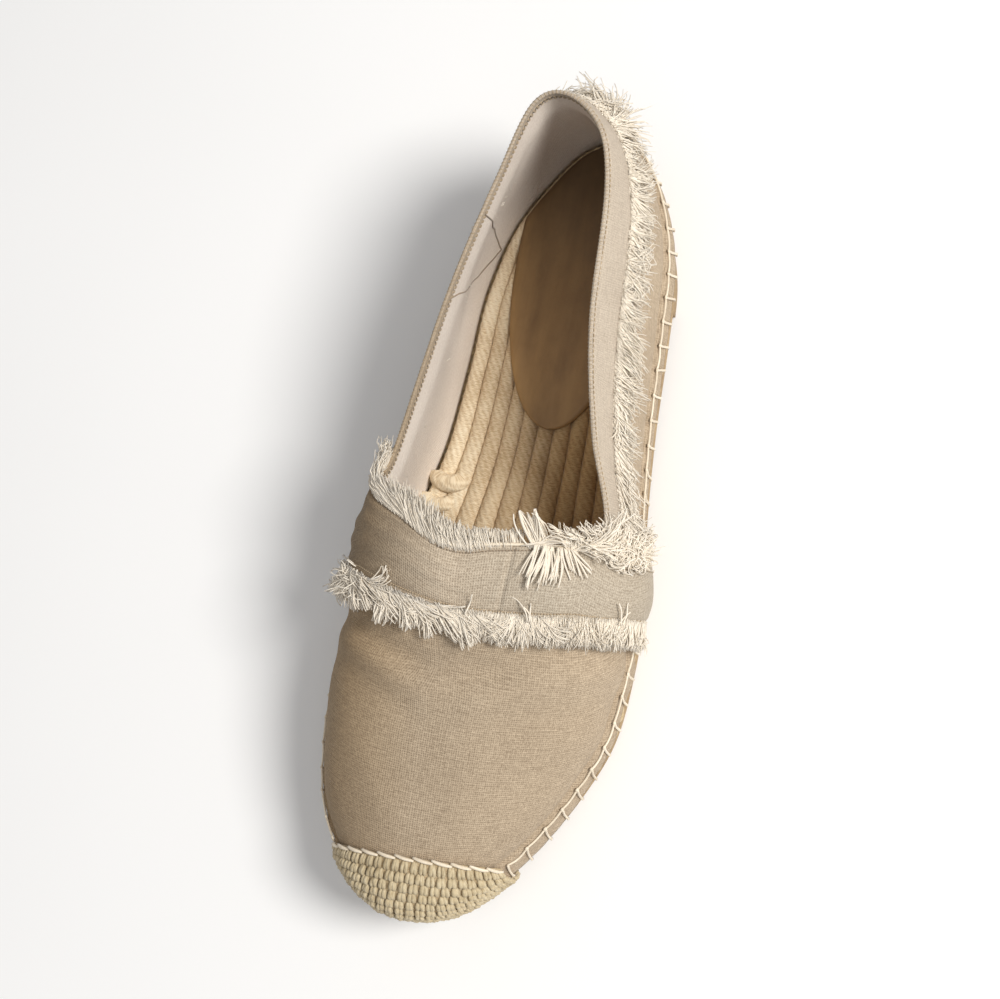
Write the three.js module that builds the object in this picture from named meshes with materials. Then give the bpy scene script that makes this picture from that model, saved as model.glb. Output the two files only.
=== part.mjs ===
// An espadrille for the left foot: a hollow linen upper on a braided jute sole, with a fringed
// strap over the instep and a crocheted toe cap.
// Millimetres. +X points to the toe, +Y to the outer side of the foot, +Z up.
// The origin is the middle of the flat underside of the heel lift.

import * as THREE from "three";

// Driving sizes of the last and the sole.
const SOLE_LENGTH = 259;
const BALL_WIDTH = 94;
const INSTEP_HEIGHT = 50; // from the upper's seat to the middle of the throat edge
const HEEL_LIFT = 6; // height
const HEEL_LENGTH = 54; // before its two ends are drawn in by the sole's taper
const TOE_SPRING = 9;
const OUTSOLE = 4; // thickness
const OUTSOLE_EDGE = 0.6; // past the sole's outline
const MIDSOLE = 15; // height of the jute side
const SOLE_TAPER = 3.5; // how far the side draws in from its top to the floor
const STRAND_PITCH = 6.2; // along the side
const STRAND_LEAN = 0.7; // from the foot of a strand to its ridge, in strand pitches
const STRAND_RIDGE = 0.9; // past the sole's outline
const STRAND_GROOVE = 0.8; // inside the sole's outline
const CLEARANCE = 0.3; // between pieces that rest on each other

// Sizes of the upper and what is sewn on it.
const SEAT_INSET = 1.5; // from the sole's outline to the foot of the upper
const WALL = 1.6;
const HEM_HEIGHT = 7;
const HEM_STEP = 0.8;
const HEM_TURN = 0.006; // share of a section over which the hem steps in
const LIFT = 0.65; // from the upper to the underside of a piece sewn on it
const BAND_WIDTH = 15;
const BAND = 1.2; // thickness
const STRAP_TOP_WIDTH = 19; // over the instep
const STRAP_SIDE_WIDTH = 28; // at the sole
const STRAP_EDGE = 2.4; // thickness
const STRAP_MIDDLE = 3.4; // thickness
const FRINGE_LENGTH = 9; // longest lock of the strap's frayed edges
const COLLAR_FRINGE_LENGTH = 11; // longest lock under the collar band
const FRINGE_GAP = 0.6; // from the edge that it is frayed from
const FRINGE_ROOT = 1.1; // thickness
const FRINGE_TIP = 0.5; // thickness
const LOCK_PITCH = 6; // from lock to lock
const LOCK_USUAL = 0.86; // length of a usual lock, in shares of the longest
const LOCK_NOTCH = 0.5; // length left in the notches between locks, in the same shares
const LOCK_BEND = 0.55; // where a lock bends, in shares of its length
const BEND_LIFT = 0.4; // share of its lean and sway that a lock has at its bend
const LOCK_SWAY = 0.8; // how far a lock's tip turns sideways
const STRAP_LEAN = 1.4; // how far a lock of the strap stands off at its tip
const COLLAR_LEAN = 1.6; // the same under the collar band
const HEEL_LEAN = 2.2; // more than that behind the heel
const COLLAR_FRINGE_START = 12; // from the strap's rear edge
const CAP_LENGTH = 19.5; // from the toe's tip back to the cap's edge
const CAP_SLANT = 0.098; // how much further back the edge runs for each millimetre to the outer side
const CAP_SIDE = 3; // from the slanted edge forward to the cap's two lower ends
const CAP = 1.4; // thickness
const CAP_FOLD = 2; // below the top of the jute side, where the cap turns on to the upper

// Sizes of the insole.
const FOOTBED = 4.5; // height of its ropes
const FOOTBED_GAP = 1.5; // to the upper's wall
const ROPES = 11;
const ROPE_RELIEF = 1.3; // from the crest of a rope to the furrow beside it
const SOCK = 1.2; // thickness
const SOCK_LENGTH = 100; // from the sole's back to the leather's rounded front
const SOCK_ROUND = 60; // length of that rounding
const SOCK_WIDTH = 44;
const SOCK_MARGIN = 1; // from the footbed's edge

// Shares of the sole's length between which the outsole lies flat on the floor.
const FLAT_START = 0.567;
const FLAT_END = 0.749;

// A table as one list of values for each named column.
function table(names, rows) {
  return Object.fromEntries(names.map((name, i) => [name, rows.map((row) => row[i])]));
}

// The sole's outline from the middle of the heel, round the outer side, the toe and the inner side:
// along in shares of SOLE_LENGTH from the heel, across in shares of BALL_WIDTH.
const OUTLINE = table(
  ["along", "across"],
  [
    [0.0, 0.0],
    [0.02, 0.108],
    [0.076, 0.223],
    [0.152, 0.303],
    [0.248, 0.332],
    [0.359, 0.351],
    [0.475, 0.385],
    [0.577, 0.437],
    [0.663, 0.45],
    [0.744, 0.436],
    [0.816, 0.371],
    [0.89, 0.269],
    [0.95, 0.144],
    [0.984, 0.034],
    [0.999, -0.102],
    [0.992, -0.227],
    [0.959, -0.356],
    [0.893, -0.483],
    [0.799, -0.547],
    [0.711, -0.554],
    [0.617, -0.526],
    [0.526, -0.458],
    [0.425, -0.394],
    [0.324, -0.371],
    [0.223, -0.36],
    [0.137, -0.311],
    [0.066, -0.212],
    [0.018, -0.112],
  ],
);

// The upper's sections, each from the sole up to the collar or throat.
// at is the share of the way round the outline. along, across and rise place the section's top, in
// shares of SOLE_LENGTH, BALL_WIDTH and INSTEP_HEIGHT. footRise and footFlare give the section's
// first run, up and outwards. topReach and topDrop give its last run, out towards the foot and down.
const SECTIONS = table(
  ["at", "along", "across", "rise", "footRise", "footFlare", "topReach", "topDrop"],
  [
    [0.0, 0.04, -0.004, 1.167, 0.4, 0.03, 0.35, 0.4],
    [0.04, 0.073, 0.115, 1.157, 0.4, 0.026, 0.35, 0.4],
    [0.085, 0.141, 0.174, 1.135, 0.38, 0.006, 0.35, 0.4],
    [0.16, 0.29, 0.208, 1.072, 0.36, 0.031, 0.35, 0.38],
    [0.235, 0.413, 0.271, 0.935, 0.34, 0.054, 0.35, 0.36],
    [0.275, 0.496, 0.345, 0.827, 0.36, 0.078, 0.4, 0.34],
    [0.305, 0.528, 0.302, 0.831, 0.42, 0.041, 0.45, 0.22],
    [0.35, 0.541, 0.164, 0.93, 0.46, 0.027, 0.5, 0.13],
    [0.43, 0.55, 0.035, 0.982, 0.44, -0.002, 0.55, 0.27],
    [0.5, 0.558, -0.048, 0.991, 0.42, 0.005, 0.58, 0.4],
    [0.57, 0.557, -0.137, 0.992, 0.44, 0.015, 0.55, 0.29],
    [0.65, 0.538, -0.263, 0.949, 0.46, 0.02, 0.5, 0.15],
    [0.7, 0.511, -0.389, 0.886, 0.44, 0.02, 0.45, 0.22],
    [0.73, 0.473, -0.37, 0.854, 0.38, 0.02, 0.4, 0.34],
    [0.775, 0.392, -0.324, 0.928, 0.36, 0.02, 0.35, 0.36],
    [0.845, 0.272, -0.256, 1.027, 0.38, 0.025, 0.35, 0.38],
    [0.915, 0.137, -0.172, 1.083, 0.4, 0.035, 0.35, 0.4],
    [0.96, 0.053, -0.107, 1.129, 0.4, 0.035, 0.35, 0.4],
  ],
);

// Places on the upper, as shares of the way round.
const OUTER_CORNER = 0.298; // where the throat meets the collar, outer side
const INNER_CORNER = 0.712; // the same on the inner side
const STRAP_FOOT = 0.491; // the strap's rear edge at the sole, in shares of SOLE_LENGTH

function smooth(from, to, x) {
  return THREE.MathUtils.smoothstep(x, from, to);
}

function mix(a, b, t) {
  return a + (b - a) * t;
}

// count + 1 even steps from one value to another.
function steps(from, to, count) {
  return Array.from({ length: count + 1 }, (_, i) => mix(from, to, i / count));
}

// The argument between low and high where a rising test turns true.
function solve(low, high, test) {
  let from = low;
  let to = high;
  for (let i = 0; i < 30; i += 1) {
    const middle = (from + to) / 2;
    if (test(middle)) to = middle;
    else from = middle;
  }
  return (from + to) / 2;
}

// A smooth closed curve through values at knots, which start at 0 and end before 1.
function closedCurve(knots, values) {
  const count = knots.length;
  const wrap = (i) => ((i % count) + count) % count;
  const knot = (i) => knots[wrap(i)] + Math.floor(i / count);
  const value = (i) => values[wrap(i)];
  const slope = (i) => (value(i + 1) - value(i - 1)) / (knot(i + 1) - knot(i - 1));
  return (at) => {
    const share = at - Math.floor(at);
    let i = count - 1;
    while (knots[i] > share) i -= 1;
    const width = knot(i + 1) - knot(i);
    const t = (share - knot(i)) / width;
    const rest = 1 - t;
    return (
      (1 + 2 * t) * rest * rest * value(i) +
      t * rest * rest * width * slope(i) +
      t * t * (3 - 2 * t) * value(i + 1) -
      t * t * rest * width * slope(i + 1)
    );
  };
}

const evenKnots = OUTLINE.along.map((_, i) => i / OUTLINE.along.length);
const outlineAlong = closedCurve(evenKnots, OUTLINE.along);
const outlineAcross = closedCurve(evenKnots, OUTLINE.across);

function outlineAtKnot(knot) {
  return new THREE.Vector2(outlineAlong(knot) * SOLE_LENGTH, outlineAcross(knot) * BALL_WIDTH);
}

// The way travelled round the outline at each sample, so that shares of it are even in length.
const SAMPLES = 720;
const travelled = [0];
for (let i = 1; i <= SAMPLES; i += 1) {
  const step = outlineAtKnot(i / SAMPLES).distanceTo(outlineAtKnot((i - 1) / SAMPLES));
  travelled.push(travelled[i - 1] + step);
}
const PERIMETER = travelled[SAMPLES];

function knotAtShare(share) {
  const turns = Math.floor(share);
  const way = (share - turns) * PERIMETER;
  let low = 0;
  let high = SAMPLES;
  while (high - low > 1) {
    const middle = (low + high) >> 1;
    if (travelled[middle] > way) high = middle;
    else low = middle;
  }
  const part = (way - travelled[low]) / (travelled[high] - travelled[low]);
  return turns + (low + part) / SAMPLES;
}

// A point of the sole's outline in plan, moved outwards, with the outward direction there.
function outline(share, outwards = 0) {
  const knot = knotAtShare(share);
  const nearby = 0.5 / SAMPLES;
  const along = outlineAtKnot(knot + nearby).sub(outlineAtKnot(knot - nearby)).normalize();
  const normal = new THREE.Vector2(-along.y, along.x);
  return { point: outlineAtKnot(knot).addScaledVector(normal, outwards), normal };
}

// Height of the outsole's underside over the floor: heel, arch, flat forefoot and toe spring.
function rise(x) {
  const heel = HEEL_LIFT * (1 - smooth(HEEL_LENGTH, FLAT_START * SOLE_LENGTH, x));
  const toe = Math.max(0, (x / SOLE_LENGTH - FLAT_END) / (1 - FLAT_END));
  return heel + TOE_SPRING * toe * toe;
}

// Height of the top of the jute sole.
function seat(x) {
  return rise(x) + OUTSOLE + MIDSOLE;
}

// How far the side is drawn in at a height over the outsole's underside.
function taper(height) {
  return SOLE_TAPER * (1 - height / (OUTSOLE + MIDSOLE));
}

const section = Object.fromEntries(
  Object.keys(SECTIONS).map((name) => [name, closedCurve(SECTIONS.at, SECTIONS[name])]),
);

// A point of the upper's outer face: share is the way round, up runs from 0 at the sole to 1 at the
// collar or throat.
function upperFace(share, up) {
  const { point, normal } = outline(share, -SEAT_INSET);
  const flare = section.footFlare(share) * BALL_WIDTH;
  const top = new THREE.Vector3(
    section.along(share) * SOLE_LENGTH,
    section.across(share) * BALL_WIDTH,
    0,
  );
  top.z = seat(top.x) + section.rise(share) * INSTEP_HEIGHT;
  const foot = new THREE.Vector3(point.x, point.y, seat(point.x) + CLEARANCE);
  const footHandle = new THREE.Vector3(
    foot.x + normal.x * flare,
    foot.y + normal.y * flare,
    foot.z + section.footRise(share) * INSTEP_HEIGHT,
  );
  const reach = section.topReach(share);
  const topHandle = new THREE.Vector3(
    mix(top.x, foot.x, reach),
    mix(top.y, foot.y, reach),
    top.z - section.topDrop(share) * INSTEP_HEIGHT,
  );
  const rest = 1 - up;
  return new THREE.Vector3()
    .addScaledVector(foot, rest ** 3)
    .addScaledVector(footHandle, 3 * up * rest * rest)
    .addScaledVector(topHandle, 3 * up * up * rest)
    .addScaledVector(top, up ** 3);
}

function upperNormal(share, up) {
  const nearby = 0.001;
  const round = upperFace(share + nearby, up).sub(upperFace(share - nearby, up));
  const rising = upperFace(share, up + nearby).sub(upperFace(share, up - nearby));
  return rising.cross(round).normalize();
}

// A point off the upper's outer face, outwards along its normal.
function offUpper(share, up, off) {
  return upperFace(share, up).addScaledVector(upperNormal(share, up), off);
}

// How far up a section is a given height over the sole.
function upAtHeight(share, height) {
  const from = upperFace(share, 0).z;
  return solve(0, 0.7, (up) => upperFace(share, up).z > from + height);
}

// How far up a section the collar band's lower edge runs.
function upAtBand(share) {
  const top = upperFace(share, 1);
  return solve(0.2, 1, (up) => upperFace(share, up).distanceTo(top) < BAND_WIDTH);
}

// The share of the way round where the outline reaches a distance from the heel.
function outerShareAt(x) {
  return solve(0, 0.49, (share) => outline(share).point.x > x);
}

function innerShareAt(x) {
  return solve(0.51, 1, (share) => outline(share).point.x < x);
}

// A mesh geometry with its faces turned outwards.
function closedGeometry(points, faces) {
  let volume = 0;
  for (let i = 0; i < faces.length; i += 3) {
    const [a, b, c] = [points[faces[i]], points[faces[i + 1]], points[faces[i + 2]]];
    volume += a.dot(new THREE.Vector3().crossVectors(b, c));
  }
  const geometry = new THREE.BufferGeometry().setFromPoints(points);
  geometry.setIndex(volume < 0 ? [...faces].reverse() : faces);
  geometry.computeVertexNormals();
  return geometry;
}

// A closed shell through columns, each with an outer and an inner row of points. A round shell
// closes on itself, and any other is closed at both ends.
function shell(columns, round = false) {
  const rings = columns.map(({ outer, inner }) => [...outer, ...[...inner].reverse()]);
  const size = rings[0].length;
  const faces = [];
  const quad = (a, b, c, d) => faces.push(a, b, c, a, c, d);
  const spans = round ? rings.length : rings.length - 1;
  for (let i = 0; i < spans; i += 1) {
    const here = i * size;
    const next = ((i + 1) % rings.length) * size;
    for (let j = 0; j < size; j += 1) {
      const after = (j + 1) % size;
      quad(here + j, here + after, next + after, next + j);
    }
  }
  if (!round) {
    const end = (rings.length - 1) * size;
    for (let j = 0; j < columns[0].outer.length - 1; j += 1) {
      quad(j, size - 1 - j, size - 2 - j, j + 1);
      quad(end + j, end + j + 1, end + size - 2 - j, end + size - 1 - j);
    }
  }
  return closedGeometry(rings.flat(), faces);
}

// A closed plate through rows of points round an outline, with strips across its two faces.
function plate(rows) {
  const size = rows[0].length;
  const faces = [];
  const quad = (a, b, c, d) => faces.push(a, b, c, a, c, d);
  for (let row = 0; row < rows.length - 1; row += 1) {
    for (let i = 0; i < size; i += 1) {
      const after = (i + 1) % size;
      const here = row * size;
      quad(here + i, here + after, here + size + after, here + size + i);
    }
  }
  const top = (rows.length - 1) * size;
  for (let i = 1; i < size / 2 - 1; i += 1) {
    quad(i, size - i, size - i - 1, i + 1);
    quad(top + i, top + i + 1, top + size - i - 1, top + size - i);
  }
  const half = size / 2;
  faces.push(0, size - 1, 1, half - 1, half + 1, half);
  faces.push(top, top + 1, top + size - 1, top + half - 1, top + half, top + half + 1);
  return closedGeometry(rows.flat(), faces);
}

// A row of a plate: points round the tapering side, at a height over the outsole's underside.
function outlineRow(count, outwards, height, shift = 0) {
  return Array.from({ length: count }, (_, i) => {
    const out = typeof outwards === "function" ? outwards(i) : outwards;
    const { point } = outline((i + shift) / count, out - taper(height));
    return new THREE.Vector3(point.x, point.y, rise(point.x) + height);
  });
}

function outsole() {
  const count = 96;
  return plate([outlineRow(count, OUTSOLE_EDGE, 0), outlineRow(count, OUTSOLE_EDGE, OUTSOLE)]);
}

// The heel lift ends in a straight breast.
function heelLift() {
  const drawnIn = SOLE_TAPER - OUTSOLE_EDGE;
  const breast = HEEL_LENGTH - drawnIn;
  const along = (share) => outline(share, -drawnIn).point.x;
  const outer = solve(0, 0.49, (share) => along(share) > breast);
  const inner = solve(0.51, 1, (share) => along(share) < breast) - 1;
  const corners = steps(inner, outer, 24).map((share) => outline(share, -drawnIn).point);
  const face = new THREE.Shape(corners);
  return new THREE.ExtrudeGeometry(face, { depth: HEEL_LIFT - CLEARANCE, bevelEnabled: false });
}

// Two rows of slanted strands run round the jute side and meet in a groove.
function juteMidsole() {
  const count = 2 * Math.round(PERIMETER / STRAND_PITCH);
  const height = MIDSOLE - CLEARANCE;
  const from = OUTSOLE + CLEARANCE;
  const ridge = (i) => (i % 2 ? STRAND_RIDGE : -STRAND_GROOVE / 2);
  return plate([
    outlineRow(count, -STRAND_GROOVE, from),
    outlineRow(count, ridge, from + height * 0.25, STRAND_LEAN),
    outlineRow(count, -STRAND_GROOVE, from + height * 0.5, 2 * STRAND_LEAN),
    outlineRow(count, ridge, from + height * 0.75, STRAND_LEAN),
    outlineRow(count, -STRAND_GROOVE, from + height),
  ]);
}

// The footbed's edges at a distance from the heel, inner side first.
const footbedInset = SEAT_INSET + WALL + FOOTBED_GAP;
const footbedEdge = steps(0, 1, 360).map((share) => outline(share, -footbedInset).point);
const footbedStart = Math.min(...footbedEdge.map((point) => point.x));
const footbedEnd = Math.max(...footbedEdge.map((point) => point.x));

function footbedSides(x) {
  const crossings = [];
  for (let i = 0; i < footbedEdge.length - 1; i += 1) {
    const a = footbedEdge[i];
    const b = footbedEdge[i + 1];
    if (a.x > x !== b.x > x) crossings.push(mix(a.y, b.y, (x - a.x) / (b.x - a.x)));
  }
  return [Math.min(...crossings), Math.max(...crossings)];
}

// Distances from the heel, closer together at both ends.
function lengthwise(from, to, count) {
  return steps(0, Math.PI, count).map((turn) => mix(from, to, (1 - Math.cos(turn)) / 2));
}

// Jute ropes side by side, as one insole.
function juteFootbed() {
  const columns = lengthwise(footbedStart + CLEARANCE, footbedEnd - CLEARANCE, 18).map((x) => {
    const [inner, outer] = footbedSides(x);
    const level = seat(x) + CLEARANCE;
    const across = steps(inner, outer, 2 * ROPES);
    const crest = (i) => level + FOOTBED - (i % 2 ? 0 : ROPE_RELIEF);
    return {
      outer: across.map((y, i) => new THREE.Vector3(x, y, crest(i))),
      inner: across.map((y) => new THREE.Vector3(x, y, level)),
    };
  });
  return shell(columns);
}

// A leather pad under the heel, inside the footbed's edge, with a rounded front.
function leatherSock() {
  const start = footbedStart + SOCK_MARGIN;
  const columns = lengthwise(start, SOCK_LENGTH - CLEARANCE, 16).map((x) => {
    const [inner, outer] = footbedSides(Math.max(x - SOCK_MARGIN, footbedStart + CLEARANCE));
    const ahead = Math.max(0, 1 - (SOCK_LENGTH - x) / SOCK_ROUND);
    const half = (SOCK_WIDTH / 2) * Math.sqrt(1 - ahead * ahead);
    const sides = [Math.max(inner + SOCK_MARGIN, -half), Math.min(outer - SOCK_MARGIN, half)];
    const level = seat(x) + FOOTBED + 2 * CLEARANCE;
    return {
      outer: sides.map((y) => new THREE.Vector3(x, y, level + SOCK)),
      inner: sides.map((y) => new THREE.Vector3(x, y, level)),
    };
  });
  return shell(columns);
}

// Shares round the upper, closer together at the corners of the throat.
function roundTheUpper() {
  const corner = 0.04;
  return [
    ...steps(0, OUTER_CORNER - corner, 16).slice(0, -1),
    ...steps(OUTER_CORNER - corner, OUTER_CORNER + corner, 12).slice(0, -1),
    ...steps(OUTER_CORNER + corner, INNER_CORNER - corner, 22).slice(0, -1),
    ...steps(INNER_CORNER - corner, INNER_CORNER + corner, 12).slice(0, -1),
    ...steps(INNER_CORNER + corner, 1, 16).slice(0, -1),
  ];
}

// A point of the upper set down on the seat.
function onSeat(point) {
  return new THREE.Vector3(point.x, point.y, seat(point.x) + CLEARANCE);
}

// The hollow upper, with its folded hem as a step at the foot.
function upper() {
  const columns = roundTheUpper().map((share) => {
    const hem = upAtHeight(share, HEM_HEIGHT);
    const rows = [0, 0.14, 0.3, 0.46, 0.62, 0.79, 0.93, 1].map((t) => mix(hem + HEM_TURN, 1, t));
    return {
      outer: [
        onSeat(offUpper(share, 0, HEM_STEP)),
        offUpper(share, hem, HEM_STEP),
        ...rows.map((up) => offUpper(share, up, 0)),
      ],
      inner: [
        onSeat(offUpper(share, 0, -WALL)),
        offUpper(share, hem, -WALL),
        ...rows.slice(1).map((up) => offUpper(share, up, -WALL)),
      ],
    };
  });
  return shell(columns, true);
}

// The strap's rear edge: up the outer side, along the throat and down the inner side. Its front
// edge crosses the vamp at the strap's width. Both are lists of [share, up].
const outerFoot = outerShareAt(STRAP_FOOT * SOLE_LENGTH);
const innerFoot = innerShareAt(STRAP_FOOT * SOLE_LENGTH);
const upOverHem = (share) => upAtHeight(share, HEM_HEIGHT + 4 * CLEARANCE);

function strapRearShare(side, up) {
  return side === "outer" ? mix(outerFoot, OUTER_CORNER, up) : mix(innerFoot, INNER_CORNER, up);
}

const strapRear = [
  ...steps(upOverHem(outerFoot), 1, 20).map((up) => [strapRearShare("outer", up), up]),
  ...steps(OUTER_CORNER, INNER_CORNER, 40).slice(1, -1).map((share) => [share, 1]),
  ...steps(1, upOverHem(innerFoot), 20).map((up) => [strapRearShare("inner", up), up]),
];

const throatMiddle = upperFace(0.5, 1);
const strapMiddle = throatMiddle.x + STRAP_TOP_WIDTH;
const strapSide = STRAP_FOOT * SOLE_LENGTH + STRAP_SIDE_WIDTH;

function behindStrapFront(point) {
  const aside = Math.min(1, Math.abs(point.y - throatMiddle.y) / (BALL_WIDTH / 2));
  return point.x < mix(strapMiddle, strapSide, aside * aside);
}

const frontEnd = (low, high, past) =>
  solve(low, high, (share) => past(upperFace(share, upOverHem(share)).x, strapSide));
const outerFrontEnd = frontEnd(outerFoot, 0.5, (x, end) => x > end);
const innerFrontEnd = frontEnd(0.5, innerFoot, (x, end) => x < end);
const strapFront = steps(outerFrontEnd, innerFrontEnd, 60).map((share) => {
  const up = solve(0, 1, (tried) => behindStrapFront(upperFace(share, tried)));
  return [share, Math.max(up, upOverHem(share))];
});

// Places at even steps along an edge that is a list of [share, up].
function evenPlaces(edge, count) {
  const points = edge.map(([share, up]) => upperFace(share, up));
  const way = [0];
  for (let i = 1; i < points.length; i += 1) {
    way.push(way[i - 1] + points[i].distanceTo(points[i - 1]));
  }
  return steps(0, way[way.length - 1], count).map((at) => {
    let i = 1;
    while (i < way.length - 1 && way[i] < at) i += 1;
    const part = (at - way[i - 1]) / (way[i] - way[i - 1]);
    return [mix(edge[i - 1][0], edge[i][0], part), mix(edge[i - 1][1], edge[i][1], part)];
  });
}

function edgeLength(edge) {
  const points = edge.map(([share, up]) => upperFace(share, up));
  return points.slice(1).reduce((sum, point, i) => sum + point.distanceTo(points[i]), 0);
}

function between(a, b, t) {
  return [mix(a[0], b[0], t), mix(a[1], b[1], t)];
}

// The strap, thicker along its middle than at its stitched edges.
function instepStrap() {
  const count = 48;
  const rear = evenPlaces(strapRear, count);
  const front = evenPlaces(strapFront, count);
  const rows = [
    { across: 0, thick: STRAP_EDGE },
    { across: 0.22, thick: STRAP_EDGE },
    { across: 0.5, thick: STRAP_MIDDLE },
    { across: 0.78, thick: STRAP_EDGE },
    { across: 1, thick: STRAP_EDGE },
  ];
  const columns = rear.map((place, i) => {
    const places = rows.map(({ across }) => between(place, front[i], across));
    return {
      outer: places.map(([share, up], row) => offUpper(share, up, LIFT + rows[row].thick)),
      inner: places.map(([share, up]) => offUpper(share, up, LIFT)),
    };
  });
  return shell(columns);
}

// The collar band's lower edge, from the strap round the heel to the strap.
const outerBandEnd = solve(0.2, 0.35, (share) => share > strapRearShare("outer", upAtBand(share)));
const innerBandEnd = solve(0.65, 0.8, (share) => share > strapRearShare("inner", upAtBand(share)));

function collarBand() {
  const gap = (2 * CLEARANCE) / PERIMETER;
  const rows = [0, 0.5, 1];
  const columns = steps(0, 1, 52).map((t) => {
    const at = (row) => {
      const lowShare = mix(outerBandEnd - gap, innerBandEnd - 1 + gap, t);
      const topShare = mix(OUTER_CORNER - 3 * gap, INNER_CORNER - 1 + 3 * gap, t);
      const share = mix(lowShare, topShare, row);
      return [share, mix(upAtBand(share), 1, row)];
    };
    return {
      outer: rows.map((row) => offUpper(...at(row), LIFT + BAND)),
      inner: rows.map((row) => offUpper(...at(row), LIFT)),
    };
  });
  return shell(columns);
}

// A steady number from -1 to 1 for each lock.
function waver(i) {
  return Math.sin(i * 2.4) * Math.cos(i * 1.1);
}

// A frayed edge as a strip of tapering locks. places are [share, up] along the edge, and inside are
// the places just behind them. foot is the height of the strip's underside, and lean is how far it
// stands off at a lock's tip.
function fringe(places, inside, { length, foot, lean }) {
  const columns = places.map(([share, up], i) => {
    const edge = upperFace(share, up);
    const normal = upperNormal(share, up);
    const away = edge.clone().sub(upperFace(...inside[i]));
    away.addScaledVector(normal, -away.dot(normal)).normalize();
    const lock = i % 2 === 1;
    const tip = length * (lock ? mix(LOCK_USUAL, 1, waver(i)) : LOCK_NOTCH);
    const aside = new THREE.Vector3().crossVectors(normal, away);
    const place = (out, height, sway) =>
      edge.clone().addScaledVector(away, out).addScaledVector(normal, height).addScaledVector(aside, sway);
    const sway = lock ? LOCK_SWAY * waver(i + 5) : 0;
    const stand = lean(share) * (lock ? 1 : LOCK_NOTCH);
    const rows = [
      { out: FRINGE_GAP, height: foot, thick: FRINGE_ROOT, sway: 0 },
      {
        out: tip * LOCK_BEND,
        height: foot + stand * BEND_LIFT,
        thick: FRINGE_ROOT,
        sway: sway * BEND_LIFT,
      },
      { out: tip, height: foot + stand, thick: FRINGE_TIP, sway },
    ];
    return {
      outer: rows.map((row) => place(row.out, row.height + row.thick, row.sway)),
      inner: rows.map((row) => place(row.out, row.height, row.sway)),
    };
  });
  return shell(columns);
}

function strapFringe(edge, other, foot) {
  const count = 2 * Math.round(edgeLength(edge) / LOCK_PITCH);
  const places = evenPlaces(edge, count);
  const far = evenPlaces(other, count);
  const inside = places.map((place, i) => between(place, far[i], 0.12));
  return fringe(places, inside, { length: FRINGE_LENGTH, foot, lean: () => STRAP_LEAN });
}

function strapFringeRear() {
  return strapFringe(strapRear, strapFront, LIFT + BAND + CLEARANCE);
}

function strapFringeFront() {
  return strapFringe(strapFront, strapRear, LIFT);
}

// Under the collar band, stopping short of the strap's own fringe, and fuller behind the heel.
function collarFringe() {
  const gap = COLLAR_FRINGE_START / PERIMETER;
  const shares = steps(outerBandEnd - gap, innerBandEnd - 1 + gap, 90);
  const edge = shares.map((share) => [share, upAtBand(share)]);
  const count = 2 * Math.round(edgeLength(edge) / LOCK_PITCH);
  const places = evenPlaces(edge, count);
  const inside = places.map(([share, up]) => [share, up + 0.05]);
  const lean = (share) => COLLAR_LEAN + HEEL_LEAN * (1 - smooth(0.02, 0.1, Math.abs(share)));
  return fringe(places, inside, { length: COLLAR_FRINGE_LENGTH, foot: LIFT, lean });
}

// How far forward a point lies, measured square to the cap's slanted edge line.
const capEdge = SOLE_LENGTH - CAP_LENGTH;
const toeAcross = outline(0.5).point.y;

function towardsToe(point) {
  return point.x + CAP_SLANT * (point.y - toeAcross);
}

// The cap wraps the jute side and the upper at the toe, up to a straight edge across it.
function toeCap() {
  const hugging = STRAND_RIDGE + CLEARANCE;
  const end = capEdge + CAP_SIDE;
  const outerEnd = solve(0, 0.49, (share) => towardsToe(outline(share).point) > end);
  const innerEnd = solve(0.51, 1, (share) => towardsToe(outline(share).point) < end);
  const columns = steps(outerEnd, innerEnd, 30).map((share) => {
    const edgeUp = solve(0, 1, (up) => towardsToe(upperFace(share, up)) < capEdge);
    const row = (off) => [
      ...[CLEARANCE, MIDSOLE / 2, MIDSOLE - CAP_FOLD].map((height) => {
        const { point } = outline(share, hugging + off - taper(OUTSOLE + height));
        return new THREE.Vector3(point.x, point.y, rise(point.x) + OUTSOLE + height);
      }),
      ...[0.12, 0.35, 0.65, 1].map((t) => {
        const step = HEM_STEP * (1 - smooth(0.5, 1, t));
        return offUpper(share, edgeUp * t, LIFT + step + off);
      }),
    ];
    return { outer: row(CAP), inner: row(0) };
  });
  return shell(columns);
}

const rubber = new THREE.MeshStandardMaterial({ color: 0x8f7350, roughness: 0.75, metalness: 0 });
const jute = new THREE.MeshStandardMaterial({ color: 0xcdb68c, roughness: 0.9, metalness: 0 });
const leather = new THREE.MeshStandardMaterial({ color: 0x8a6a4a, roughness: 0.5, metalness: 0 });
const linen = new THREE.MeshStandardMaterial({ color: 0xab9a80, roughness: 0.95, metalness: 0 });
const frayed = new THREE.MeshStandardMaterial({ color: 0xd9cbb4, roughness: 1, metalness: 0 });

const espadrille = new THREE.Group();
espadrille.position.x = -HEEL_LENGTH / 2;

function add(name, geometry, material) {
  const mesh = new THREE.Mesh(geometry, material);
  mesh.name = name;
  espadrille.add(mesh);
}

add("outsole", outsole(), rubber);
add("heel_lift", heelLift(), rubber);
add("jute_midsole", juteMidsole(), jute);
add("jute_footbed", juteFootbed(), jute);
add("leather_sock", leatherSock(), leather);
add("upper", upper(), linen);
add("collar_band", collarBand(), linen);
add("instep_strap", instepStrap(), linen);
add("strap_fringe_rear", strapFringeRear(), frayed);
add("strap_fringe_front", strapFringeFront(), frayed);
add("collar_fringe", collarFringe(), frayed);
add("toe_cap", toeCap(), jute);

export default espadrille;
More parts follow.
